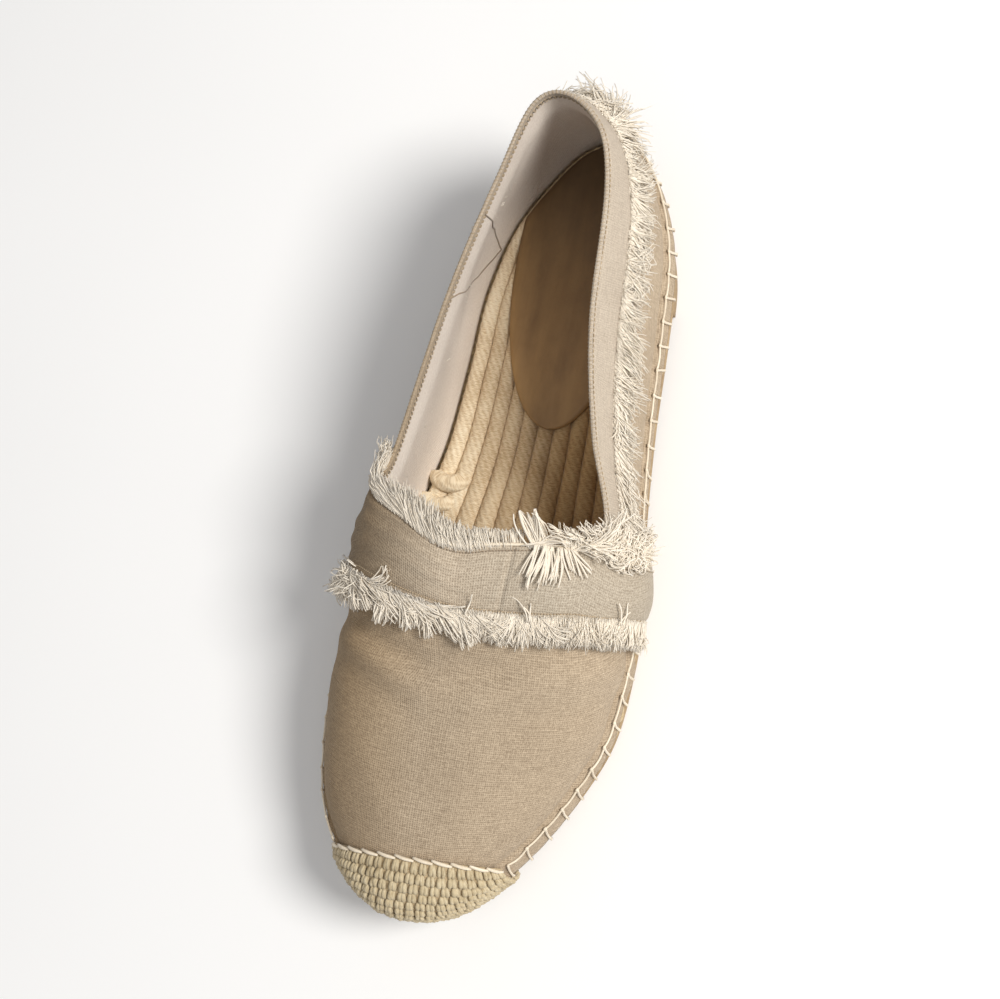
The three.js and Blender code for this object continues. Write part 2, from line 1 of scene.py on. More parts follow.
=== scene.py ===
import math

import bpy
import numpy as np
from mathutils import Matrix


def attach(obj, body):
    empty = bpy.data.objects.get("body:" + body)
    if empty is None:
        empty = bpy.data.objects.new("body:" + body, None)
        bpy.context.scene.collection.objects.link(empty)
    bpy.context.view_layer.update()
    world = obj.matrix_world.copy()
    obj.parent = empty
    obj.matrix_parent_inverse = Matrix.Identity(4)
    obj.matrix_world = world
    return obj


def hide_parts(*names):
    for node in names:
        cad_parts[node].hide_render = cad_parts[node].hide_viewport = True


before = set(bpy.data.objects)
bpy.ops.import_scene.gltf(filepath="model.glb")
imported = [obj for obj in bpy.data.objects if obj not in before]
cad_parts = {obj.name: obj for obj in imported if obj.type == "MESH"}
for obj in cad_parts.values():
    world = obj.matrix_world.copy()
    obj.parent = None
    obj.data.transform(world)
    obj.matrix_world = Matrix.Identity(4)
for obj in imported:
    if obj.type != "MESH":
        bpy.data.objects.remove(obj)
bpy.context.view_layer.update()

# Sizes of the last and the sole
SOLE_LENGTH = 259.0
BALL_WIDTH = 94.0
INSTEP_HEIGHT = 50.0
HEEL_LIFT = 6.0
HEEL_LENGTH = 54.0
TOE_SPRING = 9.0
OUTSOLE = 4.0
OUTSOLE_EDGE = 0.6
MIDSOLE = 15.0
SOLE_TAPER = 3.5
STRAND_PITCH = 6.2
STRAND_RIDGE = 0.9
CLEARANCE = 0.3
FLAT_START = 0.567
FLAT_END = 0.749

# Sizes of the upper and what is sewn on it
SEAT_INSET = 1.5
WALL = 1.6
HEM_HEIGHT = 7.0
HEM_STEP = 0.8
LIFT = 0.65
BAND_WIDTH = 15.0
BAND = 1.2
BAND_DEEPER = 0.035
STRAP_TOP_WIDTH = 19.0
STRAP_SIDE_WIDTH = 28.0
STRAP_EDGE = 2.4
STRAP_MIDDLE = 3.4
CAP_LENGTH = 19.5
CAP_SLANT = 0.098
CAP_SIDE = 3.0
STITCH_PITCH = 8.0

# Sizes of the insole
FOOTBED = 4.5
FOOTBED_GAP = 1.5
ROPES = 11
SOCK = 1.2
SOCK_LENGTH = 100.0
SOCK_ROUND = 60.0
SOCK_WIDTH = 44.0
SOCK_MARGIN = 1.0
ROPE_TURN = (119.5, -29.5)

# Sole outline from the heel round the outer side: along, across
OUTLINE = np.array(
    [
        (0, 0), (0.02, 0.108), (0.076, 0.223), (0.152, 0.303), (0.248, 0.332),
        (0.359, 0.351), (0.475, 0.385), (0.577, 0.437), (0.663, 0.45), (0.744, 0.436),
        (0.816, 0.371), (0.89, 0.269), (0.95, 0.144), (0.984, 0.034), (0.999, -0.102),
        (0.992, -0.227), (0.959, -0.356), (0.893, -0.483), (0.799, -0.547), (0.711, -0.554),
        (0.617, -0.526), (0.526, -0.458), (0.425, -0.394), (0.324, -0.371), (0.223, -0.36),
        (0.137, -0.311), (0.066, -0.212), (0.018, -0.112),
    ]
)

# Sections of the upper: at, along, across, rise, foot rise, foot flare, top reach, top drop
SECTIONS = np.array(
    [
        (0, 0.04, -0.004, 1.167, 0.4, 0.03, 0.35, 0.4),
        (0.04, 0.073, 0.115, 1.157, 0.4, 0.026, 0.35, 0.4),
        (0.085, 0.141, 0.174, 1.135, 0.38, 0.006, 0.35, 0.4),
        (0.16, 0.29, 0.208, 1.072, 0.36, 0.031, 0.35, 0.38),
        (0.235, 0.413, 0.271, 0.935, 0.34, 0.054, 0.35, 0.36),
        (0.275, 0.496, 0.345, 0.827, 0.36, 0.078, 0.4, 0.34),
        (0.305, 0.528, 0.302, 0.831, 0.42, 0.041, 0.45, 0.22),
        (0.35, 0.541, 0.164, 0.93, 0.46, 0.027, 0.5, 0.13),
        (0.43, 0.55, 0.035, 0.982, 0.44, -0.002, 0.55, 0.27),
        (0.5, 0.558, -0.048, 0.991, 0.42, 0.005, 0.58, 0.4),
        (0.57, 0.557, -0.137, 0.992, 0.44, 0.015, 0.55, 0.29),
        (0.65, 0.538, -0.263, 0.949, 0.46, 0.02, 0.5, 0.15),
        (0.7, 0.511, -0.389, 0.886, 0.44, 0.02, 0.45, 0.22),
        (0.73, 0.473, -0.37, 0.854, 0.38, 0.02, 0.4, 0.34),
        (0.775, 0.392, -0.324, 0.928, 0.36, 0.02, 0.35, 0.36),
        (0.845, 0.272, -0.256, 1.027, 0.38, 0.025, 0.35, 0.38),
        (0.915, 0.137, -0.172, 1.083, 0.4, 0.035, 0.35, 0.4),
        (0.96, 0.053, -0.107, 1.129, 0.4, 0.035, 0.35, 0.4),
    ]
)
OUTER_CORNER = 0.298
INNER_CORNER = 0.712
STRAP_FOOT = 0.491

# Soft creases of the vamp: from x, y to x, y, half width, depth
CREASES = [
    (173, -43, 181, -18, 3.4, -1.7),
    (181, -18, 180, 6, 4.2, -1.0),
    (180, 6, 164, 36, 3.8, -1.4),
    (181, -38, 189, -12, 3.4, 1.0),
    (188, 8, 172, 38, 4.2, 0.8),
    (187, -41, 195, -20, 4.0, -0.8),
    (197, 12, 184, 36, 5.0, -0.7),
    (203, -36, 222, -22, 6.0, 0.5),
    (212, 2, 204, 31, 7.0, -0.4),
]

# Seams of the lining on the inner side: shares of the outline and of the way up
LINING_SEAMS = [
    ([0.8931, 0.8924, 0.9069, 0.9062, 0.9042], [0.985, 0.961, 0.344, 0.15, 0.044]),
    (
        [0.9042, 0.8965, 0.8889, 0.8799, 0.866, 0.8486, 0.8375, 0.8326, 0.8285],
        [0.044, 0.089, 0.161, 0.261, 0.55, 0.872, 0.985, 0.985, 0.985],
    ),
]
rng = np.random.default_rng(11)


# Curves and the last
def smooth(a, b, x):
    t = np.clip((np.asarray(x, float) - a) / (b - a), 0, 1)
    return t * t * (3 - 2 * t)


def mix(a, b, t):
    return a + (b - a) * t


def unit(v):
    return v / np.maximum(np.linalg.norm(v, axis=-1, keepdims=True), 1e-9)


def dot(a, b):
    return (a * b).sum(-1, keepdims=True)


def travel(points, axis=0):
    """Way along lines of points, from 0."""
    steps = np.linalg.norm(np.diff(points, axis=axis), axis=-1)
    return np.concatenate([np.zeros_like(np.take(steps, [0], axis)), np.cumsum(steps, axis=axis)], axis)


def raised(p, height):
    """Points or directions in plan with their heights."""
    return np.concatenate([p, np.broadcast_to(height, p.shape[:-1])[..., None]], -1)


def closed_curve(knots, values):
    """A smooth curve through values at knots on a ring of length 1."""
    k = np.asarray(knots, float)
    v = np.asarray(values, float)
    kk = np.concatenate([k[-2:] - 1, k, k[:3] + 1])
    vv = np.concatenate([v[-2:], v, v[:3]])
    slope = (vv[2:] - vv[:-2]) / (kk[2:] - kk[:-2])

    def at(s):
        s = np.asarray(s, float)
        s = s - np.floor(s)
        i = np.searchsorted(k, s, side="right") + 1
        w = kk[i + 1] - kk[i]
        t = (s - kk[i]) / w
        r = 1 - t
        here = (1 + 2 * t) * r * r * vv[i] + t * r * r * w * slope[i - 1]
        return here + t * t * (3 - 2 * t) * vv[i + 1] - t * t * r * w * slope[i]

    return at


even = np.arange(len(OUTLINE)) / len(OUTLINE)
outline_along = closed_curve(even, OUTLINE[:, 0])
outline_across = closed_curve(even, OUTLINE[:, 1])
section = {
    name: closed_curve(SECTIONS[:, 0], SECTIONS[:, i + 1])
    for i, name in enumerate(["along", "across", "rise", "foot_rise", "foot_flare", "top_reach", "top_drop"])
}


def at_knot(k):
    return np.stack([outline_along(k) * SOLE_LENGTH, outline_across(k) * BALL_WIDTH], -1)


SAMPLES = 720
fine = np.linspace(0, 1, SAMPLES + 1)
travelled = travel(at_knot(fine))
PERIMETER = travelled[-1]


def outline(share, out=0.0):
    share = np.asarray(share, float)
    turns = np.floor(share)
    knot = turns + np.interp((share - turns) * PERIMETER, travelled, fine)
    near = 0.5 / SAMPLES
    along = unit(at_knot(knot + near) - at_knot(knot - near))
    normal = np.stack([-along[..., 1], along[..., 0]], -1)
    return at_knot(knot) + normal * np.asarray(out, float)[..., None], normal


def rise(x):
    heel = HEEL_LIFT * (1 - smooth(HEEL_LENGTH, FLAT_START * SOLE_LENGTH, x))
    toe = np.maximum(0, (np.asarray(x) / SOLE_LENGTH - FLAT_END) / (1 - FLAT_END))
    return heel + TOE_SPRING * toe * toe


def seat(x):
    return rise(x) + OUTSOLE + MIDSOLE


def taper(height):
    """How far the side draws in at a height over the rubber's underside."""
    return SOLE_TAPER * (1 - height / (OUTSOLE + MIDSOLE))


def upper_face(share, up):
    share, up = np.broadcast_arrays(np.asarray(share, float), np.asarray(up, float))
    past = np.maximum(0, up - 1)[..., None]
    up = np.minimum(up, 1)[..., None]
    p, n = outline(share, -SEAT_INSET)
    tx = section["along"](share) * SOLE_LENGTH
    height = seat(tx) + section["rise"](share) * INSTEP_HEIGHT
    top = np.stack([tx, section["across"](share) * BALL_WIDTH, height], -1)
    foot = raised(p, seat(p[..., 0]) + CLEARANCE)
    flare = section["foot_flare"](share)[..., None] * BALL_WIDTH
    foot_handle = foot + raised(n * flare, section["foot_rise"](share) * INSTEP_HEIGHT)
    top_handle = mix(top, foot, section["top_reach"](share)[..., None])
    top_handle[..., 2] = top[..., 2] - section["top_drop"](share) * INSTEP_HEIGHT
    r = 1 - up
    point = r**3 * foot + 3 * up * r * r * foot_handle + 3 * up * up * r * top_handle + up**3 * top
    return point + past * 3 * (top - top_handle)


def slopes(share, up):
    d = 0.001
    return (
        (upper_face(share + d, up) - upper_face(share - d, up)) / (2 * d),
        (upper_face(share, up + d) - upper_face(share, up - d)) / (2 * d),
    )


def upper_normal(share, up):
    round_way, rising = slopes(np.asarray(share, float), np.asarray(up, float))
    return unit(np.cross(rising, round_way))


def off_upper(share, up, off):
    return upper_face(share, up) + upper_normal(share, up) * np.asarray(off, float)[..., None]


def solve(low, high, test, like=0.0):
    low = np.zeros_like(np.asarray(like, float)) + low
    high = np.zeros_like(low) + high
    for _ in range(26):
        middle = (low + high) / 2
        hit = test(middle)
        high = np.where(hit, middle, high)
        low = np.where(hit, low, middle)
    return (low + high) / 2


def up_at_height(share, height):
    start = upper_face(share, 0.0)[..., 2]
    return solve(0, 0.7, lambda up: upper_face(share, up)[..., 2] > start + height, share)


def up_at_band(share):
    top = upper_face(share, 1.0)
    return solve(0.2, 1, lambda up: np.linalg.norm(upper_face(share, up) - top, axis=-1) < BAND_WIDTH, share)


def outer_share_at(x):
    return float(solve(0, 0.49, lambda s: outline(s)[0][..., 0] > x))


def inner_share_at(x):
    return float(solve(0.51, 1, lambda s: outline(s)[0][..., 0] < x))


def towards_toe(p):
    """How far forward points lie, square to the cap's slanted edge."""
    return p[..., 0] + CAP_SLANT * (p[..., 1] - toe_across)


toe_across = float(outline(0.5)[0][1])


# Edges of the strap as lists of (share, up)
outer_foot = outer_share_at(STRAP_FOOT * SOLE_LENGTH)
inner_foot = inner_share_at(STRAP_FOOT * SOLE_LENGTH)


def over_hem(share):
    return up_at_height(share, HEM_HEIGHT + 4 * CLEARANCE)


def strap_rear_share(side, up):
    if side == "outer":
        return mix(outer_foot, OUTER_CORNER, up)
    return mix(inner_foot, INNER_CORNER, up)


outer_ups = np.linspace(float(over_hem(np.array(outer_foot))), 1, 41)
inner_ups = np.linspace(1, float(over_hem(np.array(inner_foot))), 41)
throat_shares = np.linspace(OUTER_CORNER, INNER_CORNER, 81)[1:-1]
strap_rear = np.concatenate(
    [
        np.stack([strap_rear_share("outer", outer_ups), outer_ups], -1),
        np.stack([throat_shares, np.ones_like(throat_shares)], -1),
        np.stack([strap_rear_share("inner", inner_ups), inner_ups], -1),
    ]
)
throat_middle = upper_face(0.5, 1.0)
strap_middle = throat_middle[0] + STRAP_TOP_WIDTH
strap_side = STRAP_FOOT * SOLE_LENGTH + STRAP_SIDE_WIDTH


def behind_front(p):
    aside = np.minimum(1, np.abs(p[..., 1] - throat_middle[1]) / (BALL_WIDTH / 2))
    return p[..., 0] < mix(strap_middle, strap_side, aside * aside)


def front_end(low, high, past):
    return float(solve(low, high, lambda s: past(upper_face(s, over_hem(s))[..., 0])))


outer_front = front_end(outer_foot, 0.5, lambda x: x > strap_side)
inner_front = front_end(0.5, inner_foot, lambda x: x < strap_side)
front_shares = np.linspace(outer_front, inner_front, 121)
front_ups = np.maximum(
    solve(0, 1, lambda up: behind_front(upper_face(front_shares, up)), front_shares), over_hem(front_shares)
)
strap_front = np.stack([front_shares, front_ups], -1)


def way_along(edge):
    return travel(upper_face(edge[:, 0], edge[:, 1]))


def place_on(edge, t):
    """(share, up) at shares t of the edge's length."""
    way = way_along(edge)
    at = np.asarray(t, float) * way[-1]
    return np.stack([np.interp(at, way, edge[:, 0]), np.interp(at, way, edge[:, 1])], -1)


# Meshes
def make(name, points, quads, tris=(), look=None, uv=None, looks=(), look_at=None):
    """A mesh piece from points in millimetres from the heel."""
    points = np.asarray(points, float).reshape(-1, 3)
    world = (points - [HEEL_LENGTH / 2, 0, 0]) / 1000
    faces = np.asarray(quads, int).reshape(-1, 4).tolist() + np.asarray(tris, int).reshape(-1, 3).tolist()
    mesh = bpy.data.meshes.new(name)
    mesh.from_pydata(world.tolist(), [], faces)
    if uv is not None:
        layer = mesh.uv_layers.new(name="cloth")
        corners = np.empty(len(mesh.loops), int)
        mesh.loops.foreach_get("vertex_index", corners)
        values = np.asarray(uv, float).reshape(len(points), 2)[corners] / 1000
        layer.data.foreach_set("uv", values.ravel())
    for m in [look] if look else looks:
        mesh.materials.append(m)
    if look_at is not None:
        mesh.polygons.foreach_set("material_index", np.asarray(look_at, int))
    mesh.polygons.foreach_set("use_smooth", np.full(len(mesh.polygons), True))
    mesh.update()
    obj = bpy.data.objects.new(name, mesh)
    bpy.context.scene.collection.objects.link(obj)
    return obj


def grid_quads(rows, columns, close_rows=False, close_columns=False):
    """Faces of a grid of points, row by row."""
    i = np.arange(rows if close_rows else rows - 1)
    j = np.arange(columns if close_columns else columns - 1)
    i, j = np.meshgrid(i, j, indexing="ij")
    a = i * columns + j
    b = i * columns + (j + 1) % columns
    c = ((i + 1) % rows) * columns + (j + 1) % columns
    d = ((i + 1) % rows) * columns + j
    return np.stack([a, b, c, d], -1).reshape(-1, 4)


def facing(points, quads):
    """The faces turned outwards."""
    p = np.asarray(points).reshape(-1, 3)
    a, b, c, d = (p[quads[:, k]] for k in range(4))
    volume = (np.cross(b - a, c - a) * a).sum() + (np.cross(c - a, d - a) * a).sum()
    return quads if volume > 0 else quads[:, ::-1]


def slab(name, rings, look, closed=False, uv=None, **more):
    """A solid from rings of points, each ring one closed section; ends are capped."""
    rings = np.asarray(rings, float)
    n, m = rings.shape[:2]
    quads = grid_quads(n, m, closed, True)
    if not closed:
        half = m // 2
        k = np.arange(half - 1)
        first = np.stack([k, (m - 1 - k) % m, (m - 2 - k) % m, k + 1], -1)
        last = (n - 1) * m
        quads = np.concatenate([quads, first, last + first[:, ::-1]])
    return make(name, rings, facing(rings, quads), look=look, uv=uv, **more)


def ring_uv(rings, along):
    """Cloth coordinates of rings: the way along one column, and the way round each ring."""
    length = travel(rings, 1)
    return np.stack([np.broadcast_to(travel(rings[:, along])[:, None], length.shape), length], -1)


def tubes(paths, normals, radius, sides=6, flat=1.0):
    """Points, quads and uv of round strands along paths (n, m, 3)."""
    paths = np.asarray(paths, float)
    n, m = paths.shape[:2]
    radius = np.broadcast_to(np.asarray(radius, float), (n, m))
    along = unit(np.gradient(paths, axis=1))
    normal = unit(normals - dot(normals, along) * along)
    side = np.cross(along, normal)
    turn = np.linspace(0, 2 * np.pi, sides, endpoint=False)
    ring = normal[:, :, None] * np.cos(turn)[:, None] * flat + side[:, :, None] * np.sin(turn)[:, None]
    points = paths[:, :, None] + ring * radius[:, :, None, None]
    quads = grid_quads(m, sides, False, True)
    caps = []
    for start in (0, (m - 1) * sides):
        k = np.arange(1, sides - 1)
        fan = np.stack([np.zeros_like(k), k + 1, k], -1) + start
        caps.append(fan if start == 0 else fan[:, ::-1])
    caps = np.concatenate(caps)
    shift = (np.arange(n) * m * sides)[:, None, None]
    v = np.broadcast_to(travel(paths, 1)[:, :, None], (n, m, sides))
    u = np.broadcast_to(np.abs(np.linspace(-1, 1, sides))[None, None, :] * radius.mean() * 3, (n, m, sides))
    u = u + (np.arange(n) * 37.7 % 211)[:, None, None]
    quads, caps = (quads[None] + shift).reshape(-1, 4), (caps[None] + shift).reshape(-1, 3)
    return points.reshape(-1, 3), quads, caps, np.stack([u, v], -1).reshape(-1, 2)


def joined(*parts):
    points, quads, tris, uvs = [], [], [], []
    count = 0
    for p, q, t, u in parts:
        points.append(p)
        quads.append(q + count)
        tris.append(t + count)
        uvs.append(u)
        count += len(p)
    return np.concatenate(points), np.concatenate(quads), np.concatenate(tris), np.concatenate(uvs)


def strands(name, look, *parts):
    p, q, t, u = joined(*parts)
    return make(name, p, q, t, look=look, uv=u)


def done(piece, slot, *nodes):
    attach(piece, "root")
    if nodes:
        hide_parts(*nodes)
    return piece


# Materials
class Look:
    def __init__(self, name, roughness=0.9, **sockets):
        self.material = bpy.data.materials.new(name)
        self.material.use_nodes = True
        self.tree = self.material.node_tree
        self.shader = self.tree.nodes["Principled BSDF"]
        self.shader.inputs["Roughness"].default_value = roughness
        for key, value in sockets.items():
            self.shader.inputs[key.replace("_", " ")].default_value = value

    def add(self, kind, settings=None, **inputs):
        node = self.tree.nodes.new("ShaderNode" + kind)
        for key, value in (settings or {}).items():
            setattr(node, key, value)
        for key, value in inputs.items():
            socket = node.inputs[key.replace("_", " ")]
            if isinstance(value, bpy.types.NodeSocket):
                self.tree.links.new(value, socket)
            else:
                socket.default_value = value
        return node

    def cloth(self, scale=(1, 1, 1), turn=0.0):
        """Coordinates in millimetres on the cloth."""
        uv = self.add("UVMap", {"uv_map": "cloth"}).outputs[0]
        mapping = self.add("Mapping", None, Vector=uv, Scale=[1000 * s for s in scale], Rotation=(0, 0, turn))
        return mapping.outputs[0]

    def place(self, scale=(1, 1, 1)):
        """Coordinates in millimetres in the shoe."""
        where = self.add("TexCoord").outputs["Object"]
        return self.add("Mapping", None, Vector=where, Scale=[1000 * s for s in scale]).outputs[0]

    def noise(self, where, scale=1.0, detail=2.0, rough=0.5):
        node = self.add("TexNoise", None, Vector=where, Scale=scale, Detail=detail, Roughness=rough)
        return node.outputs["Fac"]

    def bands(self, where, period, direction="X", profile="SIN"):
        settings = {"wave_type": "BANDS", "bands_direction": direction, "wave_profile": profile}
        return self.add("TexWave", settings, Vector=where, Scale=0.314159 / period).outputs["Fac"]

    def math(self, operation, a, b=0.0):
        node = self.add("Math", {"operation": operation})
        for socket, value in zip(node.inputs, (a, b)):
            if isinstance(value, bpy.types.NodeSocket):
                self.tree.links.new(value, socket)
            else:
                socket.default_value = value
        return node.outputs[0]

    def total(self, *terms):
        """Sum of values, each given with its share."""
        parts = [value if share == 1 else self.math("MULTIPLY", value, share) for value, share in terms]
        result = parts[0]
        for part in parts[1:]:
            result = self.math("ADD", result, part)
        return result

    def ramp(self, fac, *stops):
        node = self.add("ValToRGB", None, Fac=fac)
        band = node.color_ramp
        for place, colour in stops[2:]:
            band.elements.new(place)
        for element, (place, colour) in zip(band.elements, sorted(stops, key=lambda s: s[0])):
            element.position = place
            element.color = (*colour, 1)
        return node.outputs[0]

    def blend(self, kind, fac, a, b):
        node = self.add("MixRGB", {"blend_type": kind})
        for socket, value in zip(node.inputs, (fac, a, b)):
            if isinstance(value, bpy.types.NodeSocket):
                self.tree.links.new(value, socket)
            elif isinstance(value, tuple):
                socket.default_value = (*value, 1)
            else:
                socket.default_value = value
        return node.outputs[0]

    def tinted(self, colour, axis, start, end, tint):
        """The colour times tint at start, in millimetres along an axis of the shoe, and plain at end."""
        at = self.add("SeparateXYZ", None, Vector=self.place()).outputs[axis]
        ranges = [self.add("MapRange", None, Value=at, From_Min=start, From_Max=end, To_Min=v) for v in tint]
        red, green, blue = (node.outputs[0] for node in ranges)
        shade = self.add("CombineColor", None, Red=red, Green=green, Blue=blue).outputs[0]
        return self.blend("MULTIPLY", 1.0, colour, shade)

    def finish(self, colour, height=None, strength=0.5, distance=0.0003, roughness=None):
        self.tree.links.new(colour, self.shader.inputs["Base Color"])
        if height is not None:
            bump = self.add("Bump", None, Height=height, Strength=strength, Distance=distance)
            self.tree.links.new(bump.outputs[0], self.shader.inputs["Normal"])
        if roughness is not None:
            self.tree.links.new(roughness, self.shader.inputs["Roughness"])
        return self.material


# Makers of one material each; the tints are painted shade on the shoe's inner and outer side
def linen(name, light, dark, pitch=0.75, slub=0.5, wear=0.35, inner=(0.8, 0.72, 0.6), outer=(1.0, 1.0, 1.0)):
    look = Look(name, 0.92, Sheen_Weight=0.1, Sheen_Roughness=0.5, Specular_IOR_Level=0.12)
    weft = look.noise(look.cloth((0.16, 1.5, 1)), 1.0, 3.0, 0.65)
    warp = look.noise(look.cloth((1.5, 0.16, 1)), 1.0, 3.0, 0.65)
    threads = look.total((weft, 0.6), (warp, 0.4))
    across = look.bands(look.cloth(), pitch, "X")
    along = look.bands(look.cloth(), pitch, "Y")
    weave = look.math("MAXIMUM", across, along)
    fleck = look.noise(look.cloth((1.3, 1.3, 1)), 1.0, 3.0, 0.7)
    tone = look.total((threads, slub), (fleck, 1 - slub), (look.math("SUBTRACT", weave, 0.7), 0.12))
    colour = look.ramp(tone, (0.4, dark), (0.61, light))
    patches = look.noise(look.place((0.035, 0.035, 0.035)), 1.0, 3.0)
    worn = look.ramp(patches, (0.35, (0.84, 0.81, 0.78)), (0.65, (1.06, 1.05, 1.04)))
    colour = look.blend("MULTIPLY", wear, colour, worn)
    y = look.add("SeparateXYZ", None, Vector=look.place()).outputs[1]
    # Painted shade: the colour darkens by the inner tint towards the shoe's inner side and by the outer tint towards
    # its outer side, as if less light fell there
    colour = look.tinted(colour, 1, -38, -10, inner)
    colour = look.tinted(colour, 1, 18, -6, outer)
    height = look.total((weave, 0.55), (threads, 1.2))
    return look.finish(colour, height, 0.6, 0.0004)


def thread(name, light, dark):
    look = Look(name, 0.85, Sheen_Weight=0.25, Sheen_Roughness=0.5, Specular_IOR_Level=0.2)
    own = look.noise(look.cloth((0.9, 0.02, 1)), 1.0, 1.0)
    fine_grain = look.noise(look.place((1.6, 1.6, 1.6)), 1.0, 2.0)
    tone = look.total((own, 0.7), (fine_grain, 0.3))
    colour = look.ramp(tone, (0.33, dark), (0.62, light))
    return look.finish(colour, look.noise(look.cloth((6, 1.2, 1)), 1.0, 2.0), 0.3, 0.0001)


def fibre(name, light, middle, dark, turn=0.5, stretch=(2.6, 0.35), strength=0.7):
    look = Look(name, 0.8, Sheen_Weight=0.12, Specular_IOR_Level=0.25)
    lines = look.noise(look.cloth((*stretch, 1), turn), 1.0, 4.0, 0.6)
    patches = look.noise(look.place((0.09, 0.09, 0.09)), 1.0, 3.0)
    tone = look.total((lines, 0.72), (patches, 0.28))
    colour = look.ramp(tone, (0.34, dark), (0.66, light), (0.5, middle))
    return look.finish(colour, lines, strength, 0.0006)


def rope(name, light, middle, dark):
    look = Look(name, 0.8, Sheen_Weight=0.12, Specular_IOR_Level=0.25)
    plies = look.bands(look.cloth((1, 1, 1), 0.85), 2.3, "Y")
    lines = look.noise(look.cloth((0.5, 3.2, 1), 0.85), 1.0, 4.0, 0.65)
    patches = look.noise(look.place((0.09, 0.09, 0.09)), 1.0, 3.0)
    tone = look.total((lines, 0.6), (patches, 0.25), (plies, 0.05))
    colour = look.ramp(tone, (0.36, dark), (0.62, light), (0.49, middle))
    # Painted shadow of the outer wall: the ropes darken towards the shoe's outer side
    colour = look.tinted(colour, 1, 8, -34, (0.6, 0.46, 0.3))
    height = look.total((plies, 0.35), (lines, 1))
    return look.finish(colour, height, 0.6, 0.0006)


def leather():
    look = Look("tan_leather", 0.5, Specular_IOR_Level=0.4)
    grain = look.add("TexVoronoi", None, Vector=look.place((1.5, 1.5, 1.5)), Scale=1.0).outputs["Distance"]
    pores = look.noise(look.place((2.4, 2.4, 2.4)), 1.0, 3.0)
    stains = look.noise(look.place((0.03, 0.055, 0.05)), 1.0, 5.0, 0.6)
    streaks = look.noise(look.place((0.012, 0.16, 0.1)), 1.0, 4.0)
    tone = look.total((stains, 0.65), (streaks, 0.35))
    dark, middle, light = (0.23, 0.13, 0.052), (0.35, 0.205, 0.082), (0.46, 0.28, 0.115)
    colour = look.ramp(tone, (0.33, dark), (0.7, light), (0.5, middle))
    # Painted shade: the pad darkens towards the heel end, deep in the heel cup
    colour = look.tinted(colour, 0, -15, 50, (0.26, 0.26, 0.26))
    height = look.total((grain, 0.5), (pores, 1))
    rough = look.add("MapRange", None, Value=stains, To_Min=0.42, To_Max=0.62).outputs[0]
    return look.finish(colour, height, 0.16, 0.0002, rough)


def rubber():
    look = Look("natural_rubber", 0.72, Specular_IOR_Level=0.35)
    specks = look.noise(look.place((0.9, 0.9, 0.9)), 1.0, 4.0, 0.7)
    scuffs = look.noise(look.place((0.06, 0.2, 0.5)), 1.0, 4.0)
    tone = look.total((specks, 0.5), (scuffs, 0.5))
    colour = look.ramp(tone, (0.36, (0.26, 0.175, 0.095)), (0.62, (0.44, 0.325, 0.195)))
    return look.finish(colour, specks, 0.3, 0.0002)


# The inner and outer tints are painted shade: vamp, strap and band darker on the inner side, strap and lining darker
# on the outer side
LINEN = linen("taupe_linen", (0.56, 0.45, 0.32), (0.31, 0.235, 0.16))
STRAP_LINEN = linen(
    "strap_linen", (0.65, 0.55, 0.42), (0.39, 0.31, 0.225), 0.8, 0.35,
    inner=(0.48, 0.42, 0.34), outer=(0.84, 0.87, 0.9),
)
BAND_LINEN = linen("band_linen", (0.58, 0.5, 0.4), (0.42, 0.35, 0.275), 0.7)
LINING = linen(
    "pale_lining", (0.88, 0.8, 0.71), (0.76, 0.67, 0.58), 0.6, 0.3, 0.5,
    inner=(1.0, 1.0, 1.0), outer=(0.62, 0.54, 0.48),
)
THREAD = thread("cream_thread", (0.88, 0.81, 0.7), (0.72, 0.63, 0.5))
CORD = thread("edge_cord", (0.84, 0.75, 0.6), (0.62, 0.51, 0.37))
SEAM = thread("seam_thread", (0.34, 0.26, 0.18), (0.2, 0.145, 0.095))
PALE_SEAM = thread("pale_seam_thread", (0.5, 0.39, 0.26), (0.3, 0.22, 0.13))
BRAID = fibre("braided_jute", (0.74, 0.6, 0.38), (0.58, 0.45, 0.26), (0.34, 0.235, 0.12))
ROPE = rope("twisted_jute_rope", (0.95, 0.88, 0.7), (0.9, 0.77, 0.56), (0.62, 0.47, 0.29))
CROCHET = fibre(
    "crocheted_jute", (0.68, 0.58, 0.4), (0.55, 0.45, 0.285), (0.36, 0.275, 0.155),
    turn=0.3, stretch=(2.2, 0.45),
)
BACKING = fibre("jute_backing", (0.62, 0.5, 0.32), (0.52, 0.4, 0.24), (0.38, 0.28, 0.15), 0.5)
LEATHER = leather()
RUBBER = rubber()


# The camera: the photograph's place and lens, turned to the middle of the one shoe
AZIMUTH, ELEVATION, ROLL, DISTANCE = 1.27845, 1.17643, -1.06448, 551.36
TARGET = np.array([118.757, -55.23, 30.0])
FOCAL = 1678.05
PHOTO_WIDTH, PHOTO_HEIGHT = 1000, 999
SHOE_MIDDLE = (627.0, 545.0)


def aim():
    level = math.cos(ELEVATION)
    back = np.array([level * math.cos(AZIMUTH), level * math.sin(AZIMUTH), math.sin(ELEVATION)])
    right = np.array([-math.sin(AZIMUTH), math.cos(AZIMUTH), 0.0])
    up = np.cross(back, right)
    right, up = (
        right * math.cos(ROLL) + up * math.sin(ROLL),
        up * math.cos(ROLL) - right * math.sin(ROLL),
    )
    eye = TARGET + back * DISTANCE
    across, down = SHOE_MIDDLE[0] - PHOTO_WIDTH / 2, SHOE_MIDDLE[1] - PHOTO_HEIGHT / 2
    back = unit(back - right * across / FOCAL + up * down / FOCAL)
    up = unit(up - (up @ back) * back)
    return eye, np.cross(up, back), up, back


def placed(x, y, z, where):
    return Matrix([[x[i], y[i], z[i], where[i]] for i in range(3)] + [[0, 0, 0, 1]])


